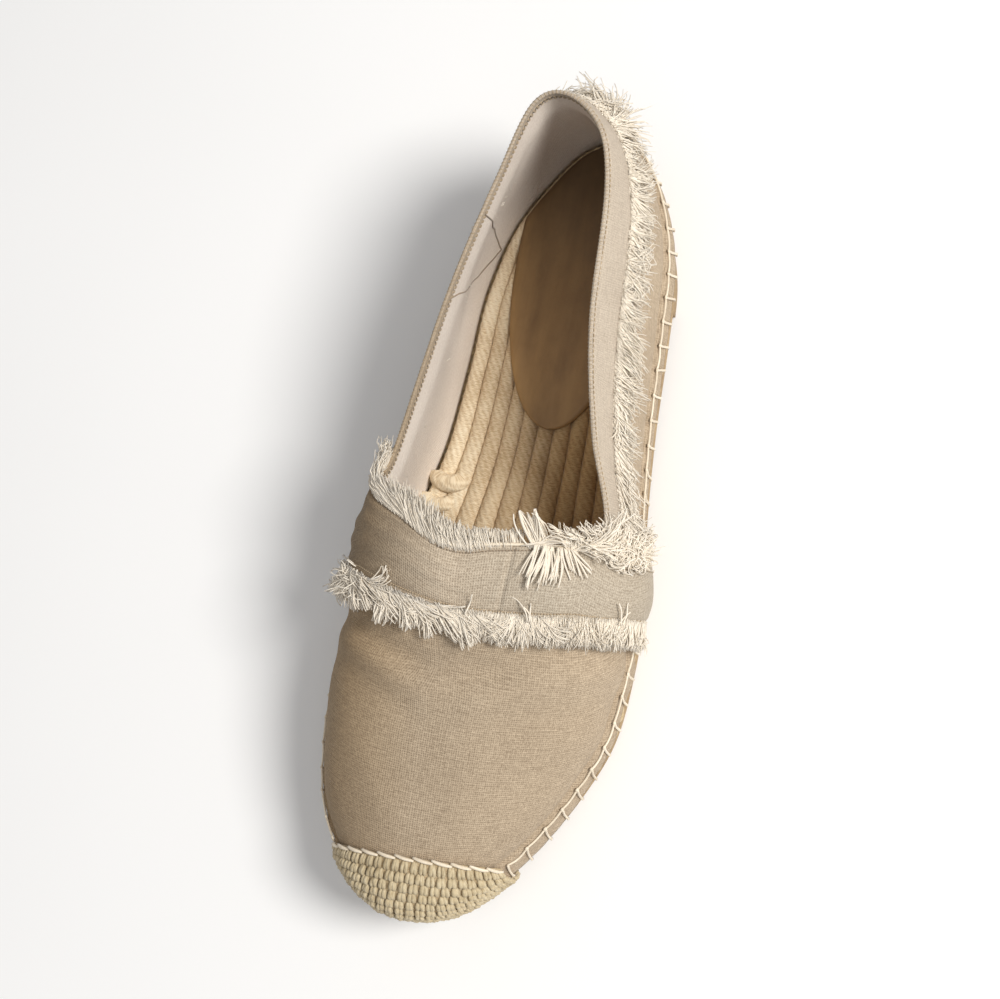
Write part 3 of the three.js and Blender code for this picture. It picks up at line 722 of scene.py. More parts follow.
eye, right, up, back = aim()
camera = bpy.data.objects.new("camera", bpy.data.cameras.new("camera"))
SENSOR = 36.0
camera.data.sensor_width = SENSOR
camera.data.lens = FOCAL * SENSOR / PHOTO_WIDTH
camera.data.clip_end = 20.0
camera.matrix_world = placed(right, up, back, (eye - [HEEL_LENGTH / 2, 0, 0]) / 1000)
bpy.context.scene.collection.objects.link(camera)
bpy.context.scene.camera = camera
bpy.context.scene.view_settings.view_transform = "Standard"


# Floor and lights
def floor():
    mesh = bpy.data.meshes.new("floor")
    mesh.from_pydata([(-4, -4, 0), (4, -4, 0), (4, 4, 0), (-4, 4, 0)], [], [(0, 1, 2, 3)])
    look = Look("pale_floor", 0.9, Specular_IOR_Level=0.1)
    shade = look.noise(look.place((0.004, 0.004, 0.004)), 1.0, 2.0)
    colour = look.ramp(shade, (0.3, (0.87, 0.865, 0.855)), (0.7, (0.9, 0.895, 0.885)))
    mesh.materials.append(look.finish(colour))
    obj = bpy.data.objects.new("floor", mesh)
    bpy.context.scene.collection.objects.link(obj)


def lamp(name, where, look_to, size, power, colour):
    data = bpy.data.lights.new(name, "AREA")
    data.shape = "DISK"
    data.size = size
    data.energy = power
    data.color = colour
    obj = bpy.data.objects.new(name, data)
    z = unit(np.array(where, float) - np.array(look_to, float))
    x = unit(np.cross([0, 0, 1.0], z))
    y = np.cross(z, x)
    obj.matrix_world = placed(x, y, z, where)
    bpy.context.scene.collection.objects.link(obj)


floor()
LOOK_TO = (0.1, 0, 0.03)
lamp("key", (-0.12, 1.05, 1.25), LOOK_TO, 0.6, 26.0, (1.0, 0.985, 0.96))
lamp("top", (0.5, 0.3, 1.7), LOOK_TO, 1.4, 4.0, (1.0, 0.99, 0.975))
world = bpy.data.worlds.new("studio")
world.use_nodes = True
world.node_tree.nodes["Background"].inputs[0].default_value = (0.97, 0.975, 1.0, 1)
world.node_tree.nodes["Background"].inputs[1].default_value = 0.37
bpy.context.scene.world = world


# The upper
def creases(p):
    """How far the cloth stands off, in soft ridges and troughs."""
    total = np.zeros(p.shape[:-1])
    for x0, y0, x1, y1, width, depth in CREASES:
        wx, wy = x1 - x0, y1 - y0
        size = math.hypot(wx, wy)
        dx, dy = p[..., 0] - x0, p[..., 1] - y0
        past = np.maximum(0, np.abs((dx * wx + dy * wy) / size**2 - 0.5) - 0.5) * size
        aside = (dx * wy - dy * wx) / size
        total = total + depth * np.exp(-((aside / width) ** 2)) * np.exp(-((past / (2.2 * width)) ** 2))
    return total


def wall(up):
    """Thickness of the upper; the lining leans out to the topline's thin turned edge."""
    return WALL - 2.1 * smooth(0.8, 1.0, up)


def upper_cloth():
    n = 560
    share = (np.arange(n) / n)[:, None]
    hem = up_at_height(share[:, 0], HEM_HEIGHT)[:, None]
    low = np.linspace(0, 1, 8) * hem
    step = hem + np.array([0.006, 0.012, 0.02])
    high = mix(hem + 0.03, 1.0, np.linspace(0, 1, 44)[None, :] ** 0.95)
    ups = np.concatenate([low, step, high], 1)
    offs = np.concatenate(
        [
            np.full((n, 7), HEM_STEP),
            np.full((n, 1), HEM_STEP - 0.05),
            np.tile([HEM_STEP * 0.7, HEM_STEP * 0.25, 0.0], (n, 1)),
            np.zeros((n, 44)),
        ],
        1,
    )
    s = np.broadcast_to(share, ups.shape)
    base = upper_face(s, ups)
    way = share * PERIMETER / STITCH_PITCH
    pucker = np.abs(np.sin(np.pi * way)) ** 0.7
    height = base[..., 2] - base[:, :1, 2]
    offs = offs + (pucker - 0.6) * 0.45 * np.exp(-(((height - 4.0) / 4.0) ** 2))
    aside = np.minimum(1, np.abs(base[..., 1] - throat_middle[1]) / (BALL_WIDTH / 2))
    ahead = base[..., 0] - mix(strap_middle, strap_side, aside * aside)
    relief = creases(base) * smooth(1, 8, ahead) * (1 - smooth(229, 237, base[..., 0]))
    offs = offs + relief + 0.55 * smooth(0.92, 1.0, ups)
    offs = offs - 0.55 * np.exp(-(((height - HEM_HEIGHT - 1.5) / 0.9) ** 2))
    offs = offs + 1.1 * (1 - smooth(0, 4.5, height))
    ripple = np.sin(base[..., 0] * 0.21 + 0.8 * np.sin(base[..., 2] * 0.11)) * 0.35
    on_side = smooth(8, 20, height) * (1 - smooth(26, 34, height))
    offs = offs + ripple * on_side * (1 - smooth(120, 140, base[..., 0]))
    outer = off_upper(s, ups, offs)
    rim = off_upper(share, np.ones_like(share) + 0.004, np.full((n, 1), 0.32))
    inner_ups = ups[:, ::-1][:, ::2]
    inner_s = np.broadcast_to(share, inner_ups.shape)
    inner = off_upper(inner_s, inner_ups, relief[:, ::-1][:, ::2] - wall(inner_ups))
    for face, row in ((outer, 0), (inner, -1)):
        face[:, row, 2] = seat(face[:, row, 0]) + CLEARANCE
    points = np.concatenate([outer, rim, inner], 1)
    count = points.shape[1]
    quads = facing(points, grid_quads(n, count, True, True))
    all_ups = np.concatenate([ups, np.ones_like(share), inner_ups], 1)
    length = travel(points, 1)
    arc = np.where(share < 0.5, share, share - 1) * PERIMETER
    side_uv = np.stack([np.broadcast_to(arc, length.shape), length], -1)
    ridge = upper_face(0.5, np.linspace(0, 1, 60))
    top_z = np.interp(points[..., 0], ridge[::-1, 0], ridge[::-1, 2])
    aside = points[..., 1] + 8.0
    unrolled = aside + np.sign(aside) * (top_z - points[..., 2]) * 0.8
    vamp_uv = np.stack([unrolled, points[..., 0] - points[..., 2] * 0.5], -1)
    limit_out = mix(outer_foot, OUTER_CORNER, all_ups) + 0.018
    limit_in = mix(inner_foot, INNER_CORNER, all_ups) - 0.018
    vamp = (share > limit_out) & (share < limit_in)
    uv = np.where(vamp[..., None], vamp_uv, side_uv)
    lowest, highest = (quads % count).min(1), (quads % count).max(1)
    row_of = np.where(quads.max(1) % count == count - 1, np.maximum(quads.min(1) % count, highest), lowest)
    inside = row_of >= outer.shape[1]
    piece = make("upper_cloth", points, quads, looks=[LINEN, LINING], uv=uv, look_at=inside)
    return done(piece, "linen", "upper")


# Band round the collar, folded over the topline
outer_band_end = float(solve(0.2, 0.35, lambda s: s > strap_rear_share("outer", up_at_band(s))))
inner_band_end = float(solve(0.65, 0.8, lambda s: s > strap_rear_share("inner", up_at_band(s))))


def band_low(share):
    """Lower edge of the band, a little deeper along the outer side."""
    before_strap = 1 - smooth(outer_band_end - 0.045, outer_band_end - 0.006, share)
    return up_at_band(share) - BAND_DEEPER * smooth(0.02, 0.1, share) * before_strap


def band_face(row):
    """Height of the band's face over the upper; it thins towards the topline."""
    rim = smooth(0.72, 1.0, row)
    return LIFT + BAND * (1 - 0.25 * rim)


def collar_cloth():
    n = 340
    gap = 2 * CLEARANCE / PERIMETER
    t = np.linspace(0, 1, n)[:, None]
    low_share = mix(outer_band_end - gap, inner_band_end - 1 + gap, t)
    top_share = mix(OUTER_CORNER - 3 * gap, INNER_CORNER - 1 + 3 * gap, t)
    near_top = [0.88, 0.91, 0.94, 0.97, 1.0]
    rows = np.concatenate([[0, 0.012, 0.04, 0.08], np.linspace(0.14, 0.84, 14), near_top])[None, :]
    share = mix(low_share, top_share, rows)
    up = mix(band_low(share), 1.0, rows)
    puff = 0.16 * np.sin(t * 60 + 3 * np.sin(t * 17)) + 0.12 * np.sin(t * 131 + rows * 2)
    edge = np.array([-0.85, -0.25, -0.05, 0.0])
    profile = np.concatenate([edge, np.zeros(14), [-0.04, -0.1, -0.22, -0.08, 0.0]])[None, :]
    puff = puff * np.sin(np.pi * np.clip(rows, 0, 1)) ** 0.5
    outer = off_upper(share, up, band_face(rows) + profile + puff)
    under = off_upper(share[:, :1], up[:, :1], np.full((n, 1), LIFT * 0.5))
    turn = np.linspace(0, np.pi, 7)[None, 1:-1]
    top = float(band_face(1.0))
    fold = float(wall(1.0)) + 0.2
    reach = (top + fold) / 2
    over = off_upper(top_share, 1.0, top - reach + reach * np.cos(turn))
    lift_dir = unit(upper_face(top_share, 1.0) - upper_face(top_share, np.full_like(top_share, 0.97)))
    over = over + lift_dir * (np.sin(turn) * 0.7)[..., None]
    down = np.array([1.0, 0.985, 0.965])[None, :]
    lining = -wall(down) - np.array([[0.2, 0.2, 0.12]]) + 0 * t
    inner = off_upper(top_share + 0 * down, down + 0 * top_share, lining)
    tucked = off_upper(top_share, np.full_like(top_share, 0.972), np.full((n, 1), 0.2))
    points = np.concatenate([outer, over, inner, tucked, under], 1)
    uv = ring_uv(points, 0)
    return done(slab("collar_cloth", points, BAND_LINEN, uv=uv), "linen", "collar_band")


def dashes(share, up, off, radius, duty=0.62, dip=0.15):
    """Stitches between neighbouring places, as short strands."""
    ahead = off_upper(share, up, off)
    normal = upper_normal(share, up)
    a, b = ahead[:-1], ahead[1:]
    q = np.linspace(0.5 - duty / 2, 0.5 + duty / 2, 5)[None, :, None]
    sunk = np.abs(q - 0.5) * 2 / duty
    paths = a[:, None] * (1 - q) + b[:, None] * q - normal[:-1, None] * (dip + radius * 2.2 * sunk**3)
    return tubes(paths, np.repeat(normal[:-1, None], 5, 1), radius, 5)


def spaced(edge, pitch):
    way = way_along(edge)
    return place_on(edge, np.linspace(0, 1, max(2, int(way[-1] / pitch))))


def collar_stitches():
    """Fine stitches beside the topline, a whipped edge over it, and the seams of the lining."""
    ends = (OUTER_CORNER, INNER_CORNER - 1)
    rows = []
    for level, inside in ((0.984, False), (0.975, True), (0.955, True)):
        t = np.linspace(*ends, 400)
        p = spaced(np.stack([t, np.full_like(t, level)], -1), 1.5)
        s, u = p[:, 0], p[:, 1]
        off = -wall(u) - 0.3 if inside else band_face(1 - (1 - u) * 4) + 0.06
        flip = -1 if inside else 1
        at, normal = off_upper(s, u, off), upper_normal(s, u) * flip
        q = np.linspace(0.18, 0.82, 4)[None, :, None]
        sunk = normal[:-1, None] * 0.25 * (np.abs(q - 0.5) / 0.32) ** 3
        paths = at[:-1, None] * (1 - q) + at[1:, None] * q - sunk
        rows.append(tubes(paths, np.repeat(normal[:-1, None], 4, 1), 0.17, 5))
    t = np.linspace(*ends, 400)
    p = spaced(np.stack([t, np.ones_like(t)], -1), 1.15)
    turn = np.linspace(0.12, 0.88, 5)[None, :] * np.pi
    share = p[:, :1] + 0.35 / PERIMETER * np.linspace(-1, 1, 5)[None, :]
    top, fold = float(band_face(1.0)), float(wall(1.0)) + 0.2
    reach = (top + fold) / 2
    lift_dir = unit(upper_face(p[:, 0], 1.0) - upper_face(p[:, 0], np.full(len(p), 0.97)))
    paths = off_upper(share, 1.0, top - reach + (reach + 0.08) * np.cos(turn))
    paths = paths + lift_dir[:, None] * (np.sin(turn) * 0.78)[..., None]
    rows.append(tubes(paths, np.repeat(lift_dir[:, None], 5, 1), 0.13, 5))
    done(strands("collar_stitches", PALE_SEAM, *rows), "linen")
    seams = []
    for shares, ups in LINING_SEAMS:
        q = np.linspace(0, 1, 40)
        s, u = (np.interp(q, np.linspace(0, 1, len(v)), v) for v in (shares, ups))
        path = off_upper(s, u, -wall(u) - 0.1)
        seams.append(tubes(path[None], -upper_normal(s, u)[None], 0.24, 6))
    done(strands("lining_seams", SEAM, *seams), "linen")


# The strap
def strap_places(t, across):
    rear = place_on(strap_rear, t)
    front = place_on(strap_front, t)
    return mix(rear[:, None], front[:, None], across[None, :, None])


def strap_thickness(across):
    middle = np.sin(np.pi * np.clip((across - 0.1) / 0.8, 0, 1)) ** 1.2
    return STRAP_EDGE + (STRAP_MIDDLE - STRAP_EDGE) * middle


def strap_relief(t, across, p):
    t = t[:, None]
    a = across[None, :]
    deep = smooth(0.0, 0.25, t) * (0.35 + 0.65 * smooth(0.45, 0.8, t))
    long_folds = 0.22 * np.sin(a * 26 + 2.4 * np.sin(t * 14) + 6 * t) * deep
    drag = 0.2 * np.sin((p[..., 1] * 0.28 + p[..., 0] * 0.35)) * np.sin(a * np.pi)
    seam = -0.55 * np.exp(-(((t - 0.395 - 0.012 * a) * 190) ** 2) / 1.2)
    rows = -0.42 * np.exp(-(((a - 0.1) / 0.022) ** 2)) - 0.42 * np.exp(-(((a - 0.925) / 0.022) ** 2))
    return long_folds + drag + seam + rows


def strap_cloth():
    n = 380
    t = np.linspace(0, 1, n)
    rear_stitch, face, front_stitch = ((0.085, 0.115, 4), (0.15, 0.88, 22), (0.905, 0.945, 4))
    inner_rows = [np.linspace(*stretch) for stretch in (rear_stitch, face, front_stitch)]
    across = np.concatenate([[0, 0.01, 0.03, 0.06], *inner_rows, [0.965, 0.98, 0.993, 1.0]])
    pl = strap_places(t, across)
    base = upper_face(pl[..., 0], pl[..., 1])
    round_off = 1 - 0.75 * np.exp(-across / 0.018)[None, :] - 0.75 * np.exp(-(1 - across) / 0.018)[None, :]
    off = LIFT + strap_thickness(across)[None, :] * np.clip(round_off, 0.2, 1) + strap_relief(t, across, base)
    outer = off_upper(pl[..., 0], pl[..., 1], off)
    front_under = off_upper(pl[:, -1:, 0], pl[:, -1:, 1], np.full((n, 1), 0.15))
    rear_under = off_upper(pl[:, :1, 0], pl[:, :1, 1], np.full((n, 1), 0.15))
    middle_under = off_upper(pl[:, 10:25:7, 0], pl[:, 10:25:7, 1], np.full((n, 3), 0.4))[:, ::-1]
    points = np.concatenate([outer, front_under, middle_under, rear_under], 1)
    if points.shape[1] % 2:
        points = np.concatenate([points, mix(rear_under, outer[:, :1], 0.4)], 1)
    uv = ring_uv(points, 16)
    piece = done(slab("strap_cloth", points, STRAP_LINEN, uv=uv), "linen", "instep_strap")


def strap_stitches():
    t = np.linspace(0.02, 0.98, 150)
    rows = []
    for across, tone in ((0.1, 0), (0.925, 1)):
        pl = strap_places(t, np.array([across]))[:, 0]
        rows.append(dashes(pl[:, 0], pl[:, 1], LIFT + STRAP_EDGE - 0.15, 0.2, 0.6, 0.0))
    done(strands("strap_stitches_rear", SEAM, rows[0]), "linen")
    done(strands("strap_stitches_front", PALE_SEAM, rows[1]), "linen")


# Frayed threads
def walk(share, up, first, turns, step):
    """Paths over the upper from places, each turning by turns (n, m) on its way."""
    s, u = share.copy(), up.copy()
    heading = first
    points, normals = [], []
    for k in range(turns.shape[1]):
        round_way, rising = slopes(s, u)
        normal = unit(np.cross(rising, round_way))
        points.append(upper_face(s, u))
        normals.append(normal)
        t = unit(heading - dot(heading, normal) * normal)
        a = turns[:, k : k + 1]
        t = t * np.cos(a) + np.cross(normal, t) * np.sin(a)
        heading = t
        e = (round_way * round_way).sum(-1)
        f = (round_way * rising).sum(-1)
        g = (rising * rising).sum(-1)
        p = (t * round_way).sum(-1) * step
        q = (t * rising).sum(-1) * step
        det = e * g - f * f
        s = s + (p * g - q * f) / det
        u = u + (q * e - p * f) / det
    return np.stack(points, 1), np.stack(normals, 1)


def threads(
    edge, behind, t, length, lean, lift, curl, radius, root=None, base=LIFT,
    drop=0.0, points=7, jitter=1.0, tuck=1.2, clump=14, gather=0.0, sides=3,
):
    """Loose threads from places t along an edge. Their roots lie in a range of heights over the base."""
    n = len(t)
    root = base + (uniform(*root, n) if root else 0.0)
    edge_at = place_on(edge, t)
    behind_at = place_on(behind, t)
    inside = mix(edge_at, behind_at, 0.12)
    p0 = upper_face(edge_at[:, 0], edge_at[:, 1])
    normal = upper_normal(edge_at[:, 0], edge_at[:, 1])
    away = p0 - upper_face(inside[:, 0], inside[:, 1])
    away = unit(away - dot(away, normal) * normal)
    order = np.argsort(t)
    group = np.empty(n, int)
    group[order] = np.arange(n) // clump
    groups = group.max() + 1
    of_group = lambda spread: rng.normal(0, spread, groups)[group]
    own = lambda spread: rng.normal(0, spread, n)
    length = length * (1 + own(0.13) + of_group(0.09))
    heading = lean + of_group(0.16) * jitter + own(0.19) * jitter
    bend = (of_group(0.35) + own(0.2)) * jitter * curl
    wave = own(0.25) * curl
    side = np.cross(normal, away)
    first = away * np.cos(heading)[:, None] + side * np.sin(heading)[:, None]
    start = np.maximum(0.0, tuck * (1 + own(0.3)))
    q = np.linspace(0, 1, points)
    turns = (bend[:, None] + wave[:, None] * np.sin(q * 9)[None, :]) / points
    path, normals = walk(edge_at[:, 0], edge_at[:, 1], first, turns, (length + start) / (points - 1))
    path = path - (first * start[:, None])[:, None] * (1 - q)[None, :, None] ** 2
    if gather:
        middle = np.zeros((groups, points, 3))
        np.add.at(middle, group, path)
        middle = middle / np.bincount(group, minlength=groups)[:, None, None]
        path = mix(path, middle[group], (gather * q**1.2)[None, :, None])
    height = root + np.abs(of_group(0.4) + own(0.3)) * 0.5
    rising = (np.asarray(lift) * (1 + own(0.25) + of_group(0.3)))[:, None] * q[None, :] ** 1.3
    rising = rising - np.asarray(drop) * (q[None, :] ** 2.2)
    curls = (own(0.55) * curl)[:, None] * np.sin(q * 6 + own(1.5)[:, None])
    path = path + normals * (np.broadcast_to(height, n)[:, None] + rising + curls * q[None, :])[..., None]
    thin = radius * (1 + own(0.15))[:, None] * (1 - 0.25 * q[None, :] ** 4)
    return tubes(path, normals, thin, sides)


def uniform(a, b, n):
    return rng.uniform(a, b, n)


def near(places, spread, n):
    return np.clip(rng.choice(places, n) + rng.normal(0, spread, n), 0, 1)


def front_fringe():
    combed = uniform(0.0, 0.5, 1700)
    under = uniform(0.0, 0.52, 600)
    lumps = near([0.03, 0.09, 0.15, 0.22, 0.3, 0.37], 0.014, 560)
    locks = uniform(0.44, 0.97, 980)
    bed = uniform(0.48, 1.0, 640)
    knots = uniform(0.72, 1.0, 260)
    e, b = strap_front, strap_rear
    parts = [
        threads(e, b, under, 4.6, 0.08, 0.5, 0.6, 0.2, (0.1, 1.2), jitter=0.6),
        threads(e, b, combed, 5.6, 0.1, 1.2, 0.7, 0.165, (0.9, 2.3), drop=0.9, jitter=0.8, clump=9, gather=0.2),
        threads(e, b, lumps, 6.0, 0.1, 2.8, 1.5, 0.18, (1.2, 2.4), drop=1.6, jitter=1.3, clump=26, gather=0.3),
        threads(e, b, bed, 6.3, 0.3, 1.4, 1.2, 0.21, (0.1, 1.8), drop=0.6, jitter=1.0, gather=0.25),
        threads(e, b, locks, 10.0, 0.75, 2.8, 1.5, 0.22, (1.0, 2.5), drop=2.4, jitter=1.3, clump=20, gather=0.62),
        threads(e, b, knots, 9.0, -0.35, 3.6, 3.2, 0.21, (1.2, 2.6), drop=1.4, jitter=2.2, clump=14, gather=0.45),
    ]
    done(strands("front_fringe_threads", THREAD, *parts), "frayed_linen", "strap_fringe_front")


# Locks that hang over the strap: place along its rear edge, lean, length, count of threads
HANGING_LOCKS = [
    (0.352, 0.02, 11.5, 7), (0.338, 0.12, 10.0, 9), (0.326, 0.3, 10.5, 8),
    (0.312, 0.5, 10.5, 9), (0.3, 0.75, 10.0, 9), (0.287, 0.9, 9.0, 7),
]


def rear_fringe():
    e, b = strap_rear, strap_front
    strap_edge = LIFT + STRAP_EDGE
    combed = 0.395 + 0.35 * np.sqrt(uniform(0.0, 1.0, 2050))
    reach = 2.9 + 6.6 * smooth(0.42, 0.66, combed)
    under = uniform(0.38, 0.76, 650)
    corner = uniform(0.74, 1.0, 420)
    first = near([0.345], 0.01, 70)
    second = near([0.352], 0.01, 36)
    fluff = near([0.255, 0.27, 0.285], 0.009, 150)
    curls = near([0.09, 0.13, 0.17, 0.21], 0.012, 330)
    bed = uniform(0.0, 0.3, 620)
    parts = [
        threads(e, b, under, 2.8 + 4.4 * smooth(0.42, 0.64, under), 0.3, 0.6, 0.5, 0.19, (0.1, 1.2), jitter=0.6),
        threads(e, b, combed, reach, 0.34, 1.3, 0.7, 0.165, (0.8, 2.4), drop=1.2, jitter=0.75, clump=10, gather=0.15),
        threads(e, b, corner, 8.5, 0.1, 2.2, 1.6, 0.2, (0.1, 2.2), jitter=1.2, gather=0.3),
        threads(e, b, first, 9.5, 0.5, 3.4, 1.2, 0.23, (1.4, 2.6), jitter=0.9, clump=18, gather=0.8, sides=5),
        threads(e, b, second, 8.5, -0.75, 3.0, 1.0, 0.24, (1.6, 2.8), jitter=0.9, clump=12, gather=0.8, sides=5),
        threads(e, b, fluff, 8.0, -0.1, 3.6, 1.8, 0.2, (1.2, 2.6), jitter=2.0, clump=14, gather=0.6, sides=4),
        threads(e, b, bed, 6.5, -0.1, 1.8, 1.4, 0.19, (0.1, 2.2), drop=0.6, jitter=1.4, gather=0.3),
        threads(
            e, b, curls, 9.5, -0.2, 3.4, 3.4, 0.21, (1.0, 2.8),
            drop=1.4, jitter=2.4, clump=11, gather=0.6, points=9, sides=4,
        ),
    ]
    for t, lean, length, count in HANGING_LOCKS:
        at = near([t], 0.003, count)
        lock = dict(jitter=0.9, tuck=0.0, clump=count, gather=0.2, points=9, sides=5)
        parts.append(threads(e, b, at, length, math.pi + lean, 1.5, 0.8, 0.27, (0.5, 1.1), strap_edge, **lock))
    done(strands("rear_fringe_threads", THREAD, *parts), "frayed_linen", "strap_fringe_rear")
    t = np.linspace(0.3, 0.86, 160)
    place = place_on(strap_rear, t)
    cord = off_upper(place[:, 0], place[:, 1], strap_edge - 0.55 + 0.1 * np.sin(t * 160))
    normal = upper_normal(place[:, 0], place[:, 1])
    done(strands("strap_rolled_edge", CORD, tubes(cord[None], normal[None], 0.5, 8)), "linen")


def collar_threads():
    gap = 10.6 / PERIMETER
    shares = np.linspace(outer_band_end - 1.0 * gap, inner_band_end - 1 + 1.0 * gap, 260)
    ups = band_low(shares)
    edge = np.stack([shares, ups], -1)
    behind = np.stack([shares, ups + 0.4], -1)
    near_heel = lambda t: np.exp(-(((t - 0.5) / 0.06) ** 2))
    flatter_inside = lambda t: 1 - 0.62 * smooth(0.53, 0.62, t)
    under = uniform(0.0, 1.0, 1500)
    dense = uniform(0.0, 1.0, 3300)
    lumps = uniform(0.0, 1.0, 1350)
    tuft = near([0.47, 0.5, 0.53], 0.012, 220)
    parts = [
        threads(edge, behind, under, 7.0, -0.1, 1.6, 0.9, 0.2, (0.1, 0.9), drop=0.9, points=5, jitter=0.9, tuck=1.0),
        threads(
            edge, behind, dense, 8.0, -0.15, (4.6 + 0.8 * near_heel(dense)) * flatter_inside(dense), 1.2, 0.175,
            (0.6, 1.7), drop=3.6, points=5, jitter=1.0, tuck=1.0, clump=12, gather=0.2,
        ),
        threads(
            edge, behind, lumps, 8.4, -0.2, 5.4 * flatter_inside(lumps), 1.9, 0.17,
            (0.8, 1.7), drop=3.6, points=6, jitter=1.4, tuck=1.0, clump=30, gather=0.35,
        ),
        threads(
            edge, behind, tuft, 8.5, 0.0, 6.0, 2.4, 0.19, (0.8, 1.6),
            drop=1.5, jitter=1.4, tuck=1.0, clump=18, gather=0.5,
        ),
    ]
    done(strands("collar_fringe_threads", THREAD, *parts), "frayed_linen", "collar_fringe")


def loose_ends():
    """Long single threads on the strap."""
    t = np.array([0.332, 0.336, 0.34, 0.13, 0.136, 0.142, 0.47])
    height = LIFT + STRAP_MIDDLE + 0.45
    single = dict(base=height, jitter=1.2, tuck=0.0, points=12, clump=1, sides=5)
    part = threads(strap_front, strap_rear, t, 6.5, math.pi, 0.3, 1.6, 0.25, **single)
    done(strands("loose_ends", THREAD, part), "frayed_linen")


# Blanket stitch round the hem
CAP_EDGE = SOLE_LENGTH - CAP_LENGTH
cap_outer = float(solve(0, 0.49, lambda s: towards_toe(outline(s)[0]) > CAP_EDGE + CAP_SIDE))
cap_inner = float(solve(0.51, 1, lambda s: towards_toe(outline(s)[0]) < CAP_EDGE + CAP_SIDE))


def hem_cord():
    start, end = cap_inner + 0.004 - 1, cap_outer - 0.004
    way = (end - start) * PERIMETER
    count = round(way / STITCH_PITCH)
    knots = np.linspace(start, end, count + 1) + rng.normal(0, 0.0006, count + 1)
    q = np.linspace(0, 1, 9)[None, :]
    a, b = knots[:-1, None], knots[1:, None]
    share = a + (b - a) * q
    sag = 0.75 * np.sin(np.pi * q) * (1 + rng.normal(0, 0.35, (count, 1)))
    height = HEM_HEIGHT + 0.5 - sag + rng.normal(0, 0.15, (count, 1))
    up = up_at_height(share, height)
    bars = off_upper(share, up, HEM_STEP + 0.35 + 0 * up)
    part_bars = tubes(bars, upper_normal(share, up), 0.36, 6)
    slant = 1.3 / PERIMETER
    q = np.linspace(0, 1, 8)[None, :]
    to_toe = np.sign(0.2 - np.abs(knots[:, None]))
    share = knots[:, None] - slant * q * to_toe + rng.normal(0, 0.0007, (count + 1, 1)) * q
    height = (HEM_HEIGHT + 0.45) * (1 - q) + 0.25 * q
    up = up_at_height(share, height)
    legs = off_upper(share, up, HEM_STEP + 0.5 + 1.15 * (1 - smooth(0, 4.5, height)))
    tail, _ = outline(share[:, -1], np.full(count + 1, 0.6))
    last = raised(tail, seat(tail[:, 0]) - 1.2)
    legs = np.concatenate([legs, last[:, None]], 1)
    normal = np.concatenate([upper_normal(share, up), upper_normal(share[:, -1:], up[:, -1:])], 1)
    part_legs = tubes(legs, normal, 0.42, 6)
    knots_at = np.stack([bars[:, 0] + upper_normal(knots[:-1], up[:-1, 0]) * d for d in (-0.2, 0.15, 0.5)], 1)
    aside = np.roll(np.gradient(bars, axis=1)[:, :1], 1, -1).repeat(3, 1)
    part_knots = tubes(knots_at, aside, np.array([0.75, 0.78, 0.35])[None, :], 7)
    done(strands("hem_cord", CORD, part_bars, part_legs, part_knots), "jute")


# The jute side: two rows of strands round a core
def jute_side():
    n = 260
    s = np.arange(n) / n
    rows = []
    core_low = ((-5.4, CLEARANCE), (-3.5, CLEARANCE), (-2.9, 3.0), (-3.3, 7.2), (-2.9, 11.4))
    core_high = ((-2.5, MIDSOLE - 0.5), (-4.0, MIDSOLE - 0.1), (-6.5, MIDSOLE - CLEARANCE))
    for out, h in core_low + core_high:
        p, _ = outline(s, np.full(n, out - taper(OUTSOLE + h)))
        rows.append(raised(p, rise(p[:, 0]) + OUTSOLE + h))
    rings = np.stack(rows, 0)
    points = rings.reshape(-1, 3)
    quads = grid_quads(len(rows), n, False, True)
    tris = []
    for start, flip in ((0, False), ((len(rows) - 1) * n, True)):
        k = np.arange(1, n // 2)
        lid = np.stack([start + k, start + (n - k) % n, start + (n - k - 1) % n, start + k + 1], -1)[:-1]
        quads = np.concatenate([quads, lid[:, ::-1] if flip else lid])
        half = start + n // 2
        tip = np.array([[start, start + 1, start + n - 1], [half, half + 1, half - 1]])
        tris.append(tip[:, ::-1] if flip else tip)
    tris = np.concatenate(tris)
    core = (points, quads, tris, points[:, :2] * 1.0)
    count = round(PERIMETER / STRAND_PITCH)
    q = np.linspace(0, 1, 12)[None, :]
    parts = [core]
    row_height = (MIDSOLE - 2 * CLEARANCE) / 2
    for row in (0, 1):
        i = np.arange(count)[:, None] + rng.normal(0, 0.05, (count, 1))
        slide = 1.35 * (q if row == 0 else 1 - q)
        share = (i + slide + 0.15 * np.sin(q * np.pi)) / count
        keep = ((share.mean(1) % 1) < cap_outer - 0.004) | ((share.mean(1) % 1) > cap_inner + 0.004)
        out = -3.8 + 2.15 * np.sin(np.pi * (0.06 + 0.88 * q)) ** 0.65 + rng.normal(0, 0.12, (count, 1))
        h = CLEARANCE + 0.4 + row * row_height + q * (row_height - 0.4)
        p, normal = outline(share, out - taper(OUTSOLE + h))
        path = raised(p, rise(p[..., 0]) + OUTSOLE + h)
        normal = raised(normal, 0.0)
        thick = 1.72 * np.sin(np.pi * (0.12 + 0.76 * q)) ** 0.5 * (1 + rng.normal(0, 0.05, (count, 1)))
        for shift, size in ((-1.25, 0.78), (1.25, 0.8)):
            along = unit(np.gradient(path, axis=1))
            side = np.cross(along, normal)
            twist = np.pi * q + (0 if shift > 0 else 0.4)
            offset = side * (shift * np.cos(twist * 0.35))[..., None]
            offset = offset + normal * (0.3 * shift * np.sin(twist))[..., None]
            parts.append(tubes((path + offset)[keep], normal[keep], (thick * size)[keep], 7))
    done(strands("plaited_side", BRAID, *parts), "jute", "jute_midsole")


